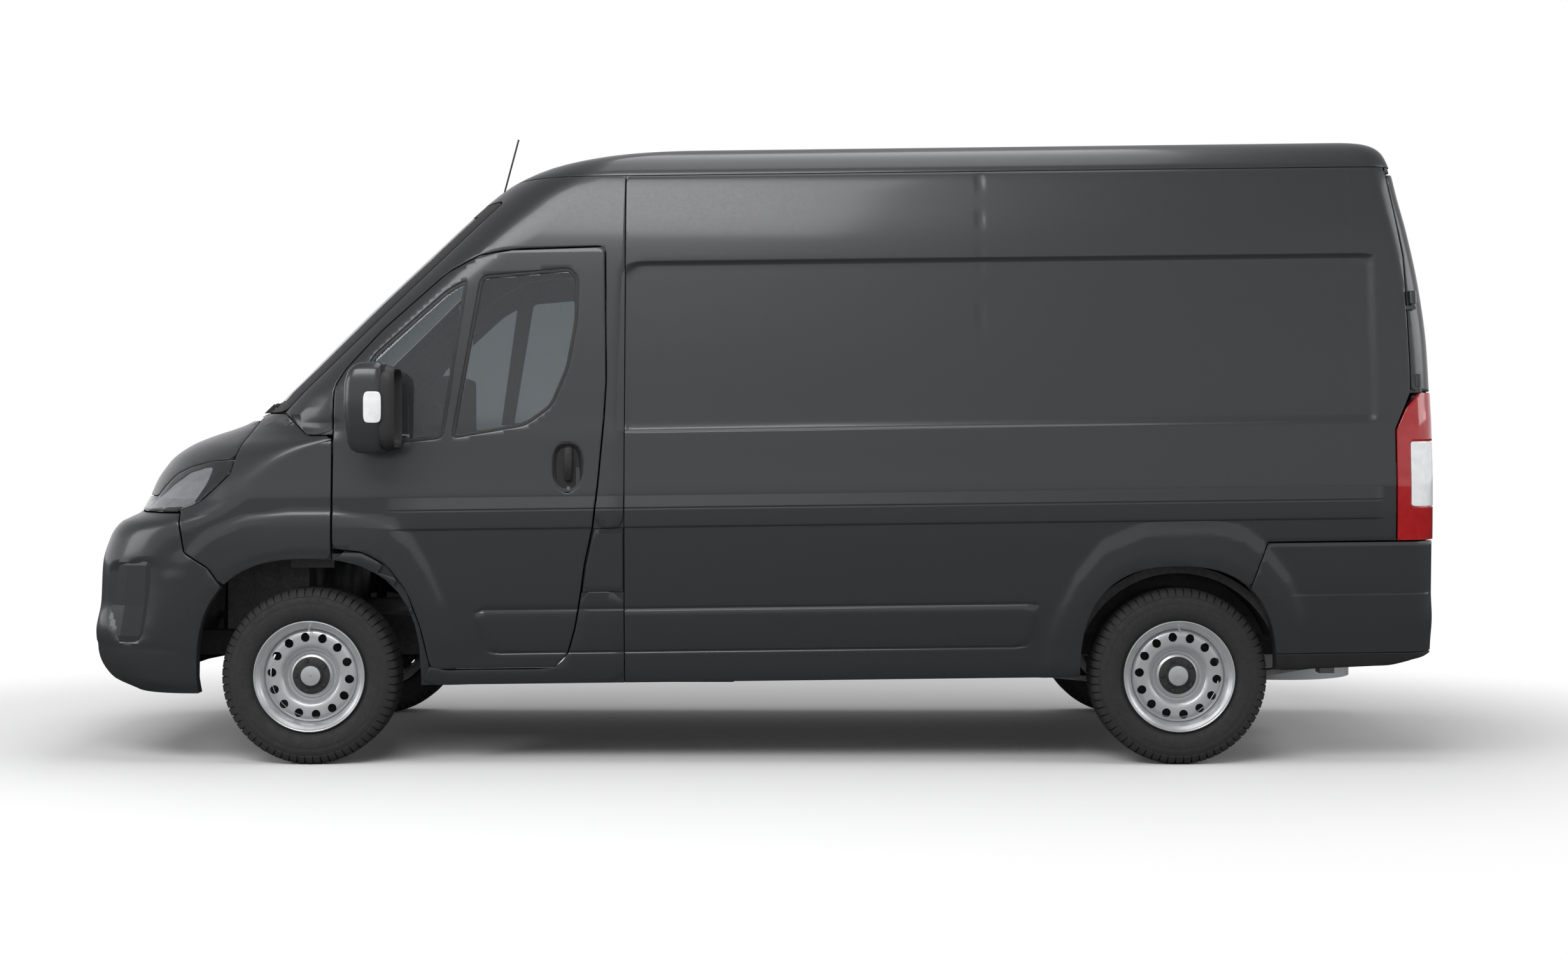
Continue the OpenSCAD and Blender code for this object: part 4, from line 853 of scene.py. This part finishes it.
def door_field(P):
    """Sunk upper and lower fields of a rear door, as a move along the normal."""
    x, h, across = plain(P)
    upper = least(across - 0.085, 0.80 - across, h - 1.43, 2.16 - h)
    lower = least(across - 0.085, 0.74 - across, h - 0.66, 1.30 - h)
    return -0.008 * smooth_step(upper, 0, 0.02) - 0.005 * smooth_step(lower, 0, 0.02)


P = P + grid_normals(P) * (LIFT + door_field(P))[..., None]
for side_name, flip in SIDES:
    panel("rear_door_skin_" + side_name, P, door, PAINT, "rear_door_" + side_name, SKIN,
          flip)

rows = mesh_rows(0.84, 1.424, 0.016)
P = tail_grid(at_height(rows), 2.52, 14, 16, 14)
x, h, across = plain(P)
lamp = np.minimum(outline_distance(x, h, TAIL_LAMP) - SEAM, across - LAMP_Y)
clear = least(x - 2.596, h - 0.974, 1.230 - h)
P = lifted(P, None, 0.006)
for side_name, flip in SIDES:
    panel("tail_lens_" + side_name, P, np.minimum(lamp, -clear - 0.001), LENS_RED,
          "van_body", 0.010, flip)
    panel("tail_clear_" + side_name, P, np.minimum(lamp, clear), LENS_WHITE,
          "van_body", 0.010, flip)

rows = mesh_rows(0.33, 0.84, 0.018, (0.397, 0.629))
P = tail_grid(at_height(rows), (RX - 765) * MM, 40, 14, 44)
x, h, across = plain(P)
notch = least(h - 0.542, LAMP_Y - across, x - (RX - 300) * MM)
bumper = least(outline_distance(x, h, rounded(REAR_BUMPER, 0.03)) - SEAM, -notch,
               -outline_distance(x, h, REAR_ARCH))


def bumper_relief(x, h):
    """Pressed line along the rear bumper and the flare over the wheel."""
    line = 0.006 * smooth_step(0.632 - h, 0, 0.006) * smooth_step(x, 2.14, 2.17)
    return line + flare(x, h, REAR_FLARE, REAR_ARCH)


P = lifted(P, bumper_relief)
for side_name, flip in SIDES:
    panel("rear_bumper_skin_" + side_name, P, np.minimum(bumper, h - 0.398), PAINT,
          "van_body", SKIN, flip)
    panel("rear_bumper_strip_" + side_name, P, np.minimum(bumper, 0.396 - h), TRIM,
          "van_body", SKIN, flip)

# %% [markdown]
# ## Glass
# The panes get fine faces of their own, a few millimetres inside the body line, with a black
# border where they are bonded.

# %% Glass
rows = mesh_rows(1.36, 2.26, 0.03)
P = nose_grid(U_FINE, at_height(rows), -1.0)
x, h, _ = plain(P)
screen = outline_distance(x, h, SCREEN) - SEAM
border = 0.045 - screen
pane = lifted(P, None, 0.001)
panel("windscreen_pane", pane, np.minimum(screen, -border), GLASS, "van_body", 0.004)
panel("windscreen_border", lifted(P, None, 0.0016), np.minimum(screen, border), TRIM,
      "van_body", 0.005)
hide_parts("windscreen")

rows = mesh_rows(1.25, 1.98, 0.008)
P = side_grid(np.linspace(AXLE_F + 0.19, DOOR_X * MM - 0.09, 130), rows)
x, h, _ = plain(P)
for side_name, flip in SIDES:
    for part, outline in (("quarter", QUARTER), ("drop", DROP_GLASS)):
        inside = outline_distance(x, h, outline) + 0.004
        band = 0.018 - inside
        panel("pane_%s_%s" % (part, side_name), lifted(P, None, -0.004),
              np.minimum(inside, -band + 0.004), GLASS, "cab_door_" + side_name, 0.004,
              flip)
        panel("seal_%s_%s" % (part, side_name), lifted(P, None, -0.0015),
              np.minimum(inside, band), TRIM, "cab_door_" + side_name, 0.008, flip)
    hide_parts("cab_glass_" + side_name)

# %% [markdown]
# ## Wheels
# Each wheel is drawn about its own axis with the outer side up, then laid into its place. The
# steel disc is a polar grid with its 14 vent holes clipped out. One pitch of the tread is
# repeated round the tyre by a node group.

# %% Wheels
VENTS, PITCHES = 14, 66
DISC = mm_line((0.5, 62.5), (30, 62.5), (37, 61.6), (40.5, 58.5), (41.5, 50), (44, 46), (60, 44.5),
               (73, 42), (78.5, 38.5), (83, 28), (88, 23.4), (94, 22.2), (100, 23.4), (104.5, 28),
               (110.5, 43), (114, 50.5), (119, 55.2), (126, 57), (140, 57.6), (158, 57.6),
               (169, 56.8), (176, 53.6), (181, 47), (184, 38))
BARREL = mm_line((221, 97), (220, 99.4), (217.5, 100), (215, 98.6), (213, 94.5), (209, 90.8),
                 (203, 87), (196, 79), (190.5, 69), (187, 58), (184, 40), (183.5, -50), (188, -66),
                 (196, -78), (206, -86), (213, -92), (215, -98.6), (217.5, -100), (220, -99.4),
                 (221, -97), (220.6, -86), (216, -83.8), (203, -79), (193, -66), (188.5, -54),
                 (188.5, 40), (193, 60), (203, 75), (216, 82), (220.6, 86))
CASING = mm_line((221.4, -83), (226, -86), (232, -92), (242, -100), (256, -104.4), (272, -106.6),
                 (285, -107.3), (288, -106.2), (291, -107.2), (304, -105.6), (316, -101.4),
                 (327, -94), (336, -84), (341.5, -74), (344, -62), (344.6, -40), (344.8, 0))


def spin(profile, steps, closed):
    """Points and faces of a profile (radius, height) turned about the upright axis."""
    a = np.linspace(0, 2 * math.pi, steps, endpoint=False)
    r, z = profile[:, :1], profile[:, 1:]
    P = np.dstack([r * np.cos(a), r * np.sin(a), np.broadcast_to(z, (len(profile), steps))])
    n = len(profile)
    faces = []
    for i in range(n if closed else n - 1):
        for j in range(steps):
            k = (j + 1) % steps
            faces.append((i * steps + j, i * steps + k, (i + 1) % n * steps + k,
                          (i + 1) % n * steps + j))
    return P.reshape(-1, 3), faces


def vented_disc(hole_at=0.154, hole_r=0.0185):
    """Outer face of the wheel disc with its vent holes, as a shell."""
    cols = VENTS * 14 + 1
    a = np.linspace(0, 2 * math.pi, cols)
    length = np.r_[0, np.cumsum(np.hypot(*np.diff(DISC, axis=0).T))]
    t = np.unique(np.r_[length, np.arange(0.125, 0.205, 0.004)])
    r = np.interp(t, length, DISC[:, 0])[:, None]
    z = np.interp(t, length, DISC[:, 1])[:, None]
    P = np.dstack([r * np.cos(a), r * np.sin(a), np.broadcast_to(z, (len(t), cols))])
    step = 2 * math.pi / VENTS
    off = (a - math.radians(8) + step / 2) % step - step / 2
    hole = np.hypot(r * np.cos(off) - hole_at, r * np.sin(off)) - hole_r
    points, faces = clip_grid(P, hole)
    merged, where, keep = {}, np.zeros(len(points), int), []
    for i, p in enumerate(points):
        key = tuple(np.round(p, 6))
        if key not in merged:
            merged[key] = len(keep)
            keep.append(i)
        where[i] = merged[key]
    faces = [tuple(dict.fromkeys(int(where[i]) for i in f)) for f in faces]
    faces = [f for f in faces if len(f) > 2]
    points, outer, inner = shell(points[keep], faces, 0.005, 0.0012)
    return points, outer + inner


def block(corners, low, high, splits=1):
    """A closed block: an outline (radius, height) carried along the tread from low to high."""
    n = len(corners)
    P = [(r, y, z) for y in np.linspace(low, high, splits + 1) for r, z in corners]
    faces = [tuple(range(n))[::-1], tuple(range(splits * n, (splits + 1) * n))]
    for s in range(splits):
        for i in range(n):
            j = (i + 1) % n
            faces.append((s * n + i, s * n + j, (s + 1) * n + j, (s + 1) * n + i))
    return np.array(P), faces


def joined(parts):
    """Several sets of points and faces as one."""
    points, faces, base = [], [], 0
    for p, f in parts:
        points.append(p)
        faces += [tuple(int(i) + base for i in face) for face in f]
        base += len(p)
    return np.vstack(points), faces


def mesh_of(name, points, faces, sharp=30):
    """A smooth shaded mesh with its faces turned outwards."""
    mesh = bpy.data.meshes.new(name)
    mesh.from_pydata([tuple(p) for p in points], [], faces)
    shape = bmesh.new()
    shape.from_mesh(mesh)
    bmesh.ops.recalc_face_normals(shape, faces=shape.faces)
    shape.to_mesh(mesh)
    shape.free()
    mesh.polygons.foreach_set("use_smooth", np.ones(len(mesh.polygons), bool))
    mesh.set_sharp_from_angle(angle=math.radians(sharp))
    return mesh


def build_round():
    """Node group: repeats a mesh a number of times about the upright axis."""
    group = bpy.data.node_groups.new("repeat_round", "GeometryNodeTree")
    face = group.interface
    face.new_socket("Geometry", in_out="INPUT", socket_type="NodeSocketGeometry")
    face.new_socket("Count", in_out="INPUT", socket_type="NodeSocketInt").default_value = 8
    face.new_socket("Material", in_out="INPUT", socket_type="NodeSocketMaterial")
    face.new_socket("Geometry", in_out="OUTPUT", socket_type="NodeSocketGeometry")
    inside, outside = add(group, "NodeGroupInput"), add(group, "NodeGroupOutput")
    line = add(group, "GeometryNodeMeshLine", {"Offset": (0, 0, 0)})
    copies = add(group, "GeometryNodeInstanceOnPoints")
    index = add(group, "GeometryNodeInputIndex")
    share = add(group, "ShaderNodeMath", operation="DIVIDE")
    turn = add(group, "ShaderNodeMath", {1: 2 * math.pi}, operation="MULTIPLY")
    angles = add(group, "ShaderNodeCombineXYZ")
    real = add(group, "GeometryNodeRealizeInstances")
    finish = add(group, "GeometryNodeSetMaterial")
    wire(group, (inside, "Count", line, "Count"), (line, "Mesh", copies, "Points"),
         (inside, "Geometry", copies, "Instance"), (index, 0, share, 0),
         (inside, "Count", share, 1), (share, 0, turn, 0), (turn, 0, angles, "Z"),
         (angles, 0, copies, "Rotation"), (copies, 0, real, 0), (real, 0, finish, "Geometry"),
         (inside, "Material", finish, "Material"), (finish, 0, outside, 0))
    return group


ROUND = build_round()


def repeated(name, points, faces, count, mat):
    """A mesh repeated round the upright axis, with the node group's result applied."""
    source = bpy.data.objects.new(name + "_pitch", mesh_of(name + "_pitch", points, faces))
    bpy.context.collection.objects.link(source)
    modifier = source.modifiers.new("round", "NODES")
    modifier.node_group = ROUND
    for item in ROUND.interface.items_tree:
        if item.in_out == "INPUT" and item.name in ("Count", "Material"):
            modifier[item.identifier] = count if item.name == "Count" else mat
    graph = bpy.context.evaluated_depsgraph_get()
    mesh = bpy.data.meshes.new_from_object(source.evaluated_get(graph))
    bpy.data.objects.remove(source)
    return mesh


def tread_pitch():
    """One pitch of tread: two shoulder lugs and three rib blocks."""
    shoulder = mm_line((341, 60), (350, 60), (349.6, 70), (346.8, 81), (341, 90), (331, 97.4),
                       (318, 103), (314, 101), (326, 92), (336, 82))
    width = 2 * math.pi * TYRE_R / PITCHES
    parts = []
    for s in (-1, 1):
        parts.append(block(shoulder * (1, s), -width * 0.39, width * 0.39))
        rib = mm_line((342, 24), (350, 24), (350, 54), (342, 54)) * (1, s)
        parts.append(block(rib, -width * 0.45, width * 0.45))
    rib = mm_line((342, -17), (350, -17), (350, 17), (342, 17))
    parts.append(block(rib, -width * 0.46, width * 0.46))
    return joined(parts)


def bolts():
    """Five hexagon bolts and the tyre valve."""
    parts = []
    for k in range(5):
        a = math.radians(90 + 72 * k)
        six = [(0.0001, 41), (13, 41), (13, 42.6), (9.6, 43), (9.4, 53.5), (8, 55), (0.0001, 55)]
        p, f = spin(mm_line(*six), 6, False)
        parts.append((p + (0.062 * math.cos(a), 0.062 * math.sin(a), 0), f))
    valve = mm_line((0.0001, 0), (4.5, 0), (4.5, 18), (3.4, 20), (3.4, 34), (0.0001, 34))
    p, f = spin(valve, 12, False)
    lean = np.column_stack([p[:, 0] - p[:, 2] * 0.35 + 0.196, p[:, 1], p[:, 2] * 0.93 + 0.070])
    parts.append((lean, f))
    return joined(parts)


casing = np.vstack([CASING, CASING[-2::-1] * (1, -1)])
inner_line = mm_line((221.2, 83.6), (201, 73.8), (189.6, 40.4), (189.6, -54), (201, -77.8),
                     (221.2, -83.6))
rim_parts = joined([vented_disc(), spin(BARREL, 112, True), bolts()])
rim_mesh = mesh_of("rim", *rim_parts)
rim_mesh.materials.append(WHEEL)
rim_mesh.materials.append(CHASSIS)
for face in rim_mesh.polygons:
    radius = math.hypot(face.center[0], face.center[1])
    face.material_index = int(0.0405 < radius < 0.0765)
tyre_mesh = mesh_of("tyre", *spin(np.vstack([casing, inner_line]), 112, True), 40)
tyre_mesh.materials.append(RUBBER)
tread_mesh = repeated("tread", *tread_pitch(), PITCHES, RUBBER)
brake_mesh = mesh_of("brake", *spin(mm_line((66, -14), (168, -14), (170, -12), (170, 2), (168, 4),
                                            (66, 4)), 64, True))
brake_mesh.materials.append(CHASSIS)
for where, axle in (("front", AXLE_F), ("rear", AXLE_R)):
    for side_name, s in (("left", -1), ("right", 1)):
        spot = Matrix.Translation((axle, s * TRACK / 2, TYRE_R)) @ Matrix.Rotation(
            -s * math.pi / 2, 4, "X")
        wheel = where + "_" + side_name
        for kind, mesh, slot in (("rim", rim_mesh, "wheel_steel"), ("tyre", tyre_mesh, "tyre"),
                                 ("tread", tread_mesh, "tyre"),
                                 ("brake", brake_mesh, "cast_metal")):
            own = mesh.copy()
            own.transform(spot @ Matrix.Rotation(math.pi / 2, 4, "Z"))
            piece = new_piece("fine_%s_%s" % (kind, wheel), own, "wheel_" + wheel)
            if kind in ("rim", "tyre"):
                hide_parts("%s_%s" % (kind, wheel))
print("wheels:", len(rim_mesh.polygons), "rim faces,", len(tread_mesh.polygons), "tread faces")

# %% [markdown]
# ## Seats
# Each cushion starts a little smaller than its solid. It is remeshed, blown up by the cloth
# solver for a few frames, and held to a small swelling.

# %% Seats
SEAT_X, SEAT_Z, SEAT_W = AXLE_F + 0.560, 0.890, 0.470
CUSHION_SWELL = 0.012
CLOTH_FRAMES = 20
BOX_FACES = [(0, 3, 2, 1), (4, 5, 6, 7), (0, 1, 5, 4), (1, 2, 6, 5), (2, 3, 7, 6), (3, 0, 4, 7)]


def soft_block(corners, cells=7):
    """A block between eight corners, with its faces cut into cells and its edges rounded off."""
    low, high = np.array(corners[:4], float), np.array(corners[4:], float)
    shape = bmesh.new()
    bmesh.ops.create_cube(shape, size=2.0)
    bmesh.ops.subdivide_edges(shape, edges=shape.edges, cuts=cells, use_grid_fill=True)
    for v in shape.verts:
        p = np.array(v.co)
        round_off = p / max(np.linalg.norm(p, 8), 1e-9) * max(abs(p))
        a, b, c = (round_off + 1) / 2
        flat = [(1 - a) * (1 - b), a * (1 - b), a * b, (1 - a) * b]
        v.co = (1 - c) * sum(w * q for w, q in zip(flat, low)) + c * sum(
            w * q for w, q in zip(flat, high))
    return shape


def box_corners(x0, x1, y0, y1, z):
    """Four corners of a level rectangle, anticlockwise from the front left."""
    return [(x0, y0, z), (x1, y0, z), (x1, y1, z), (x0, y1, z)]


def seat_pads(w, y):
    """Cushion, back and head pad of one seat as blocks inside the solid."""
    x, z, g = SEAT_X, SEAT_Z, CUSHION_SWELL
    cushion = box_corners(x + g, x + 0.495 - g, y - w / 2 + g, y + w / 2 - g, z - 0.115)
    cushion += box_corners(x + g, x + 0.470 - g, y - w / 2 + g, y + w / 2 - g, z - g)
    back = box_corners(x + 0.402 + g, x + 0.508 - g, y - w / 2 + 0.022 + g,
                       y + w / 2 - 0.022 - g, z + 0.012)
    back += box_corners(x + 0.532 + g, x + 0.598 - g, y - w / 2 + 0.052 + g,
                        y + w / 2 - 0.052 - g, z + 0.578 - g)
    head = box_corners(x + 0.547 + g, x + 0.603 - g, y - 0.118 + g, y + 0.118 - g, z + 0.622 + g)
    head += box_corners(x + 0.562 + g, x + 0.608 - g, y - 0.103 + g, y + 0.103 - g, z + 0.798 - g)
    return cushion, back, head


def swollen(name, corners):
    """One pad: remeshed, filled by the cloth solver and held to a small swelling."""
    shape = soft_block(corners)
    mesh = bpy.data.meshes.new(name)
    shape.to_mesh(mesh)
    shape.free()
    pad = bpy.data.objects.new(name, mesh)
    bpy.context.collection.objects.link(pad)
    remesh = pad.modifiers.new("remesh", "REMESH")
    remesh.mode = "VOXEL"
    remesh.voxel_size = 0.008
    graph = bpy.context.evaluated_depsgraph_get()
    start = bpy.data.meshes.new_from_object(pad.evaluated_get(graph))
    pad.modifiers.clear()
    pad.data = start
    before = np.array([v.co for v in start.vertices])
    cloth = pad.modifiers.new("cloth", "CLOTH")
    cloth.settings.use_pressure = True
    cloth.settings.uniform_pressure_force = 4.0
    cloth.settings.quality = 4
    cloth.settings.effector_weights.gravity = 0.0
    cloth.point_cache.frame_start, cloth.point_cache.frame_end = 1, CLOTH_FRAMES
    for frame_number in range(1, CLOTH_FRAMES + 1):
        scene.frame_set(frame_number)
    graph = bpy.context.evaluated_depsgraph_get()
    done = bpy.data.meshes.new_from_object(pad.evaluated_get(graph))
    move = np.array([v.co for v in done.vertices]) - before
    size = np.linalg.norm(move, axis=1, keepdims=True)
    move *= np.minimum(1, CUSHION_SWELL / np.maximum(size, 1e-9))
    pad.modifiers.clear()
    pad.data = done
    done.vertices.foreach_set("co", (before + move).astype(np.float32).ravel())
    scene.frame_set(1)
    return pad


def merged_mesh(name, objects):
    """Several objects' meshes as one smooth mesh, the objects removed."""
    shape = bmesh.new()
    for item in objects:
        shape.from_mesh(item.data)
        bpy.data.objects.remove(item)
    mesh = bpy.data.meshes.new(name)
    shape.to_mesh(mesh)
    shape.free()
    mesh.polygons.foreach_set("use_smooth", np.ones(len(mesh.polygons), bool))
    return mesh


def seat_base(w, y):
    """Box below the cushion and the two rods of the head pad."""
    parts = []
    x0, x1, y0, y1 = SEAT_X + 0.06, SEAT_X + 0.44, y - w / 2 + 0.06, y + w / 2 - 0.06
    base = box_corners(x0, x1, y0, y1, 0.5605) + box_corners(x0, x1, y0, y1, SEAT_Z - 0.118)
    parts.append((np.array(base), BOX_FACES))
    for dy in (-0.06, 0.06):
        p, f = spin(mm_line((0.001, 560), (6.5, 560), (6.5, 640), (0.001, 640)), 10, False)
        parts.append((p + (SEAT_X + 0.570, y + dy, SEAT_Z), f))
    return joined(parts)


for seat_name, places in (("driver_seat", ((SEAT_W, -0.49),)),
                          ("passenger_bench", ((SEAT_W, 0.52), (SEAT_W - 0.06, 0.06)))):
    pads, bases = [], []
    for k, (w, y) in enumerate(places):
        pads += [swollen("%s_%d_%d" % (seat_name, k, i), c) for i, c in enumerate(seat_pads(w, y))]
        bases.append(seat_base(w, y))
    mesh = merged_mesh(seat_name + "_pads", pads)
    mesh.materials.append(CLOTH)
    piece = new_piece(seat_name + "_pads", mesh, "van_body")
    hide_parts(seat_name)
    base_mesh = mesh_of(seat_name + "_base", *joined(bases))
    base_mesh.materials.append(TRIM)
    new_piece(seat_name + "_base", base_mesh, "van_body")
    print(seat_name, len(mesh.polygons), "faces")

# %% [markdown]
# ## Mirrors, handles and lamps
# The mirror shell is a stack of rounded rectangles; the door handle is a dished bowl with a grip
# across it. The headlamp has a bright bowl and a dark bezel under its clear cover.

# %% Mirrors, handles and lamps
MIRROR_X, MIRROR_Y, MIRROR_Z = AXLE_F + 0.275, -HALF_W - 0.113, 1.412


def tube_of_rings(rings):
    """A closed piece through rings of equal count, capped at both ends."""
    n, m = len(rings), len(rings[0])
    points = list(np.vstack(rings))
    faces = [(i * m + j, i * m + (j + 1) % m, (i + 1) * m + (j + 1) % m, (i + 1) * m + j)
             for i in range(n - 1) for j in range(m)]
    for row, turn in ((0, -1), (n - 1, 1)):
        points.append(np.mean(rings[row], axis=0))
        for j in range(m):
            a, b = row * m + j, row * m + (j + 1) % m
            faces.append((a, b, len(points) - 1)[::turn])
    return np.array(points), faces


def squircle(cx, cy, z, a, b, power=4.5, steps=40):
    """Ring of a rounded rectangle at one height."""
    t = np.linspace(0, 2 * math.pi, steps, endpoint=False)
    c, s = np.cos(t), np.sin(t)
    x = cx + a * np.sign(c) * np.abs(c) ** (2 / power)
    y = cy + b * np.sign(s) * np.abs(s) ** (2 / power)
    return np.column_stack([x, y, np.full(steps, z)])


def place(name, shape, mat, body):
    """A named piece from points and faces, riding on a body."""
    mesh = mesh_of(name, *shape, 40)
    mesh.materials.append(mat)
    return new_piece(name, mesh, body)


def turned(ring):
    """A level ring about the origin stood upright at the mirror, its height along the van."""
    return np.column_stack([MIRROR_X + ring[:, 2], MIRROR_Y + ring[:, 1], MIRROR_Z + ring[:, 0]])


def mirror_parts(s):
    """Housing, arm, bezel, glass and indicator of one mirror; s is -1 left, 1 right."""
    housing = []
    for z, a, b, lean in ((-0.176, 0.030, 0.050, 0.020), (-0.172, 0.050, 0.075, 0.016),
                          (-0.160, 0.064, 0.094, 0.010), (-0.130, 0.073, 0.104, 0.006),
                          (-0.06, 0.079, 0.110, 0.002), (0.02, 0.082, 0.112, 0),
                          (0.10, 0.080, 0.111, 0.002), (0.145, 0.073, 0.106, 0.008),
                          (0.168, 0.060, 0.094, 0.016), (0.178, 0.042, 0.074, 0.022),
                          (0.181, 0.024, 0.048, 0.026)):
        housing.append(squircle(MIRROR_X - 0.016 + lean, MIRROR_Y, MIRROR_Z + z, a, b))
    bezel = [turned(squircle(0, 0, z, a, b, 6)) for z, a, b in (
        (0.045, 0.150, 0.100), (0.070, 0.166, 0.110), (0.098, 0.158, 0.106),
        (0.104, 0.152, 0.102), (0.098, 0.146, 0.096), (0.082, 0.142, 0.092))]
    glass = [turned(squircle(0, 0, z, 0.144, 0.094, 6)) for z in (0.0810, 0.0830)]
    foot = -HALF_W + 0.028
    arm = [squircle(MIRROR_X + cx, 0, MIRROR_Z + cz, a, b, 4, 28)
           for cx, cz, a, b in ((0.0, -0.098, 0.036, 0.030), (0.002, -0.098, 0.040, 0.032),
                                (-0.006, -0.098, 0.060, 0.044))]
    for ring, y in zip(arm, (MIRROR_Y + 0.08, -HALF_W - 0.018, foot)):
        ring[:, 1], ring[:, 2] = y, ring[:, 2] + ring[:, 1]
    lamp = [squircle(MIRROR_X + 0.016, 0, z, 0.034, 0.060, 5, 32) for z in (0, 1, 2)]
    for ring, out, part in zip(lamp, (-0.100, -0.1125, -0.114), (1, 1, 0.93)):
        ring[:, 0] = MIRROR_X + 0.022 + (ring[:, 0] - MIRROR_X - 0.016) * part
        ring[:, 2] = MIRROR_Z + 0.004 + ring[:, 1] * part
        ring[:, 1] = MIRROR_Y + out
    side_name = "left" if s < 0 else "right"
    for kind, rings, mat in (("housing", housing, PAINT), ("bezel", bezel, TRIM),
                             ("mirror_glass", glass, MIRROR), ("arm", arm, TRIM),
                             ("indicator", lamp, LENS_WHITE)):
        shape = tube_of_rings([r * (1, -s, 1) for r in rings])
        piece = place("%s_%s" % (kind, side_name), shape, mat, "cab_door_" + side_name)
        if kind == "housing":
            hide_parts("mirror_" + side_name)


def side_surface_y(x, z):
    """Width of the body's left face at a place, as a y value."""
    h = z - RAKE * (x - AXLE_F)
    return at_height(np.array([h]))[1][0] - HALF_W


def door_handle(s, cx, cz, body, label, deep=0.005):
    """Dished bowl, upright grip and lock of a door."""
    y = side_surface_y(cx, cz)
    rings = []
    for a, b, out in ((0.0575, 0.0955, 0.004), (0.0615, 0.0995, -0.0035),
                      (0.0590, 0.0970, -0.0055), (0.0540, 0.0920, -0.0040),
                      (0.0480, 0.0850, deep * 0.6), (0.0400, 0.0760, deep)):
        ring = squircle(0, 0, 0, a, b, 3, 48)
        rings.append(np.column_stack([cx + ring[:, 0], y + out + 0 * ring[:, 0], cz + ring[:, 1]]))
    bowl = tube_of_rings(rings)
    grip = []
    for z, a, out in ((0.078, 0.012, 0.0), (0.070, 0.015, -0.012), (0.045, 0.0165, -0.017),
                      (0, 0.0165, -0.018), (-0.035, 0.0155, -0.016), (-0.056, 0.013, -0.010),
                      (-0.062, 0.009, 0.0)):
        grip.append(squircle(cx + 0.003, y + out, cz + z + 0.008, a, 0.0065, 3, 20))
    lock = spin(mm_line((0.001, 0), (8, 0), (8, 5), (7, 6.2), (0.001, 6.2)), 20, False)
    lock = (np.column_stack([cx + 0.004 + lock[0][:, 0], y - lock[0][:, 2] - 0.001,
                             cz - 0.080 + lock[0][:, 1]]), lock[1])
    for kind, (points, faces), mat in (("bowl", bowl, TRIM), ("grip", tube_of_rings(grip), TRIM),
                                       ("lock", lock, CHROME)):
        place("%s_%s" % (label, kind), (points * (1, -s, 1), faces), mat, body)


for s, side_name in ((-1, "left"), (1, "right")):
    mirror_parts(s)
    door_handle(s, (DOOR_X - 151) * MM, 1.1785, "cab_door_" + side_name, "handle_" + side_name)
door_handle(1, (BX + 165) * MM, 1.190, "van_body", "sliding_handle", 0.0)
radiator = np.array(box_corners(-2.500, -2.462, -0.58, 0.58, 0.36)
                    + box_corners(-2.470, -2.432, -0.58, 0.58, 1.035))
place("radiator", (radiator, BOX_FACES), CHASSIS, "van_body")

rows = mesh_rows(0.66, 0.94, 0.02)
P = side_grid(np.linspace((DOOR_X - 110) * MM, BX * MM, 16), rows)
x, h, _ = plain(P)
body_part("fuel_flap_skin", P, outline_distance(x, h, rounded(FLAP, 0.012)) - 0.0018, "fuel_flap")

rows = mesh_rows(1.0, 1.22, 0.006)
P = nose_grid(np.linspace(0, 1, 120), at_height(rows), -1.98)
x, h, across = plain(P)
lamp = np.minimum(outline_distance(x, h, LAMP) - SEAM, across - 0.545)
LAMP_BOWL = rounded(mm_line((-2470, 1018), (-2268, 1030), (-2222, 1036), (-2166, 1122),
                            (-2150, 1186), (-2264, 1166), (-2330, 1124), (-2400, 1060),
                            (-2470, 1050)), 0.02)
bowl = outline_distance(x, h, LAMP_BOWL)
panel("lamp_bezel", lifted(P, None, 0.0012), np.minimum(lamp, -bowl), TRIM, "van_body",
      0.004)
panel("lamp_cover", lifted(P, None, 0.0035), lamp, CLEAR, "van_body", 0.0015)
print("mirrors, handles and lamps made")

# %% Finish of the solids
FINISHES = (
    (PAINT, ("body_side", "roof", "cab_frame", "front_wings", "bonnet", "front_bumper", "mirror",
             "cab_door", "sliding_door", "rear_door", "rear_bumper", "fuel_flap")),
    (RUBBER, ("tyre",)), (WHEEL, ("rim", "spare_wheel")), (GLASS, ("windscreen", "cab_glass")),
    (CHROME, ("headlamps",)), (LENS_RED, ("tail_lamps",)), (INNER, ("bulkhead",)),
    (TRIM, ("grille", "dashboard", "steering_wheel", "wipers")),
    (CLOTH, ("driver_seat", "passenger_bench")), (CAST, ("rear_axle", "knuckle", "engine")),
)
for name in nodes:
    dress(name, next((mat for mat, starts in FINISHES if name.startswith(starts)), CHASSIS))
print(len(nodes), "solids dressed")
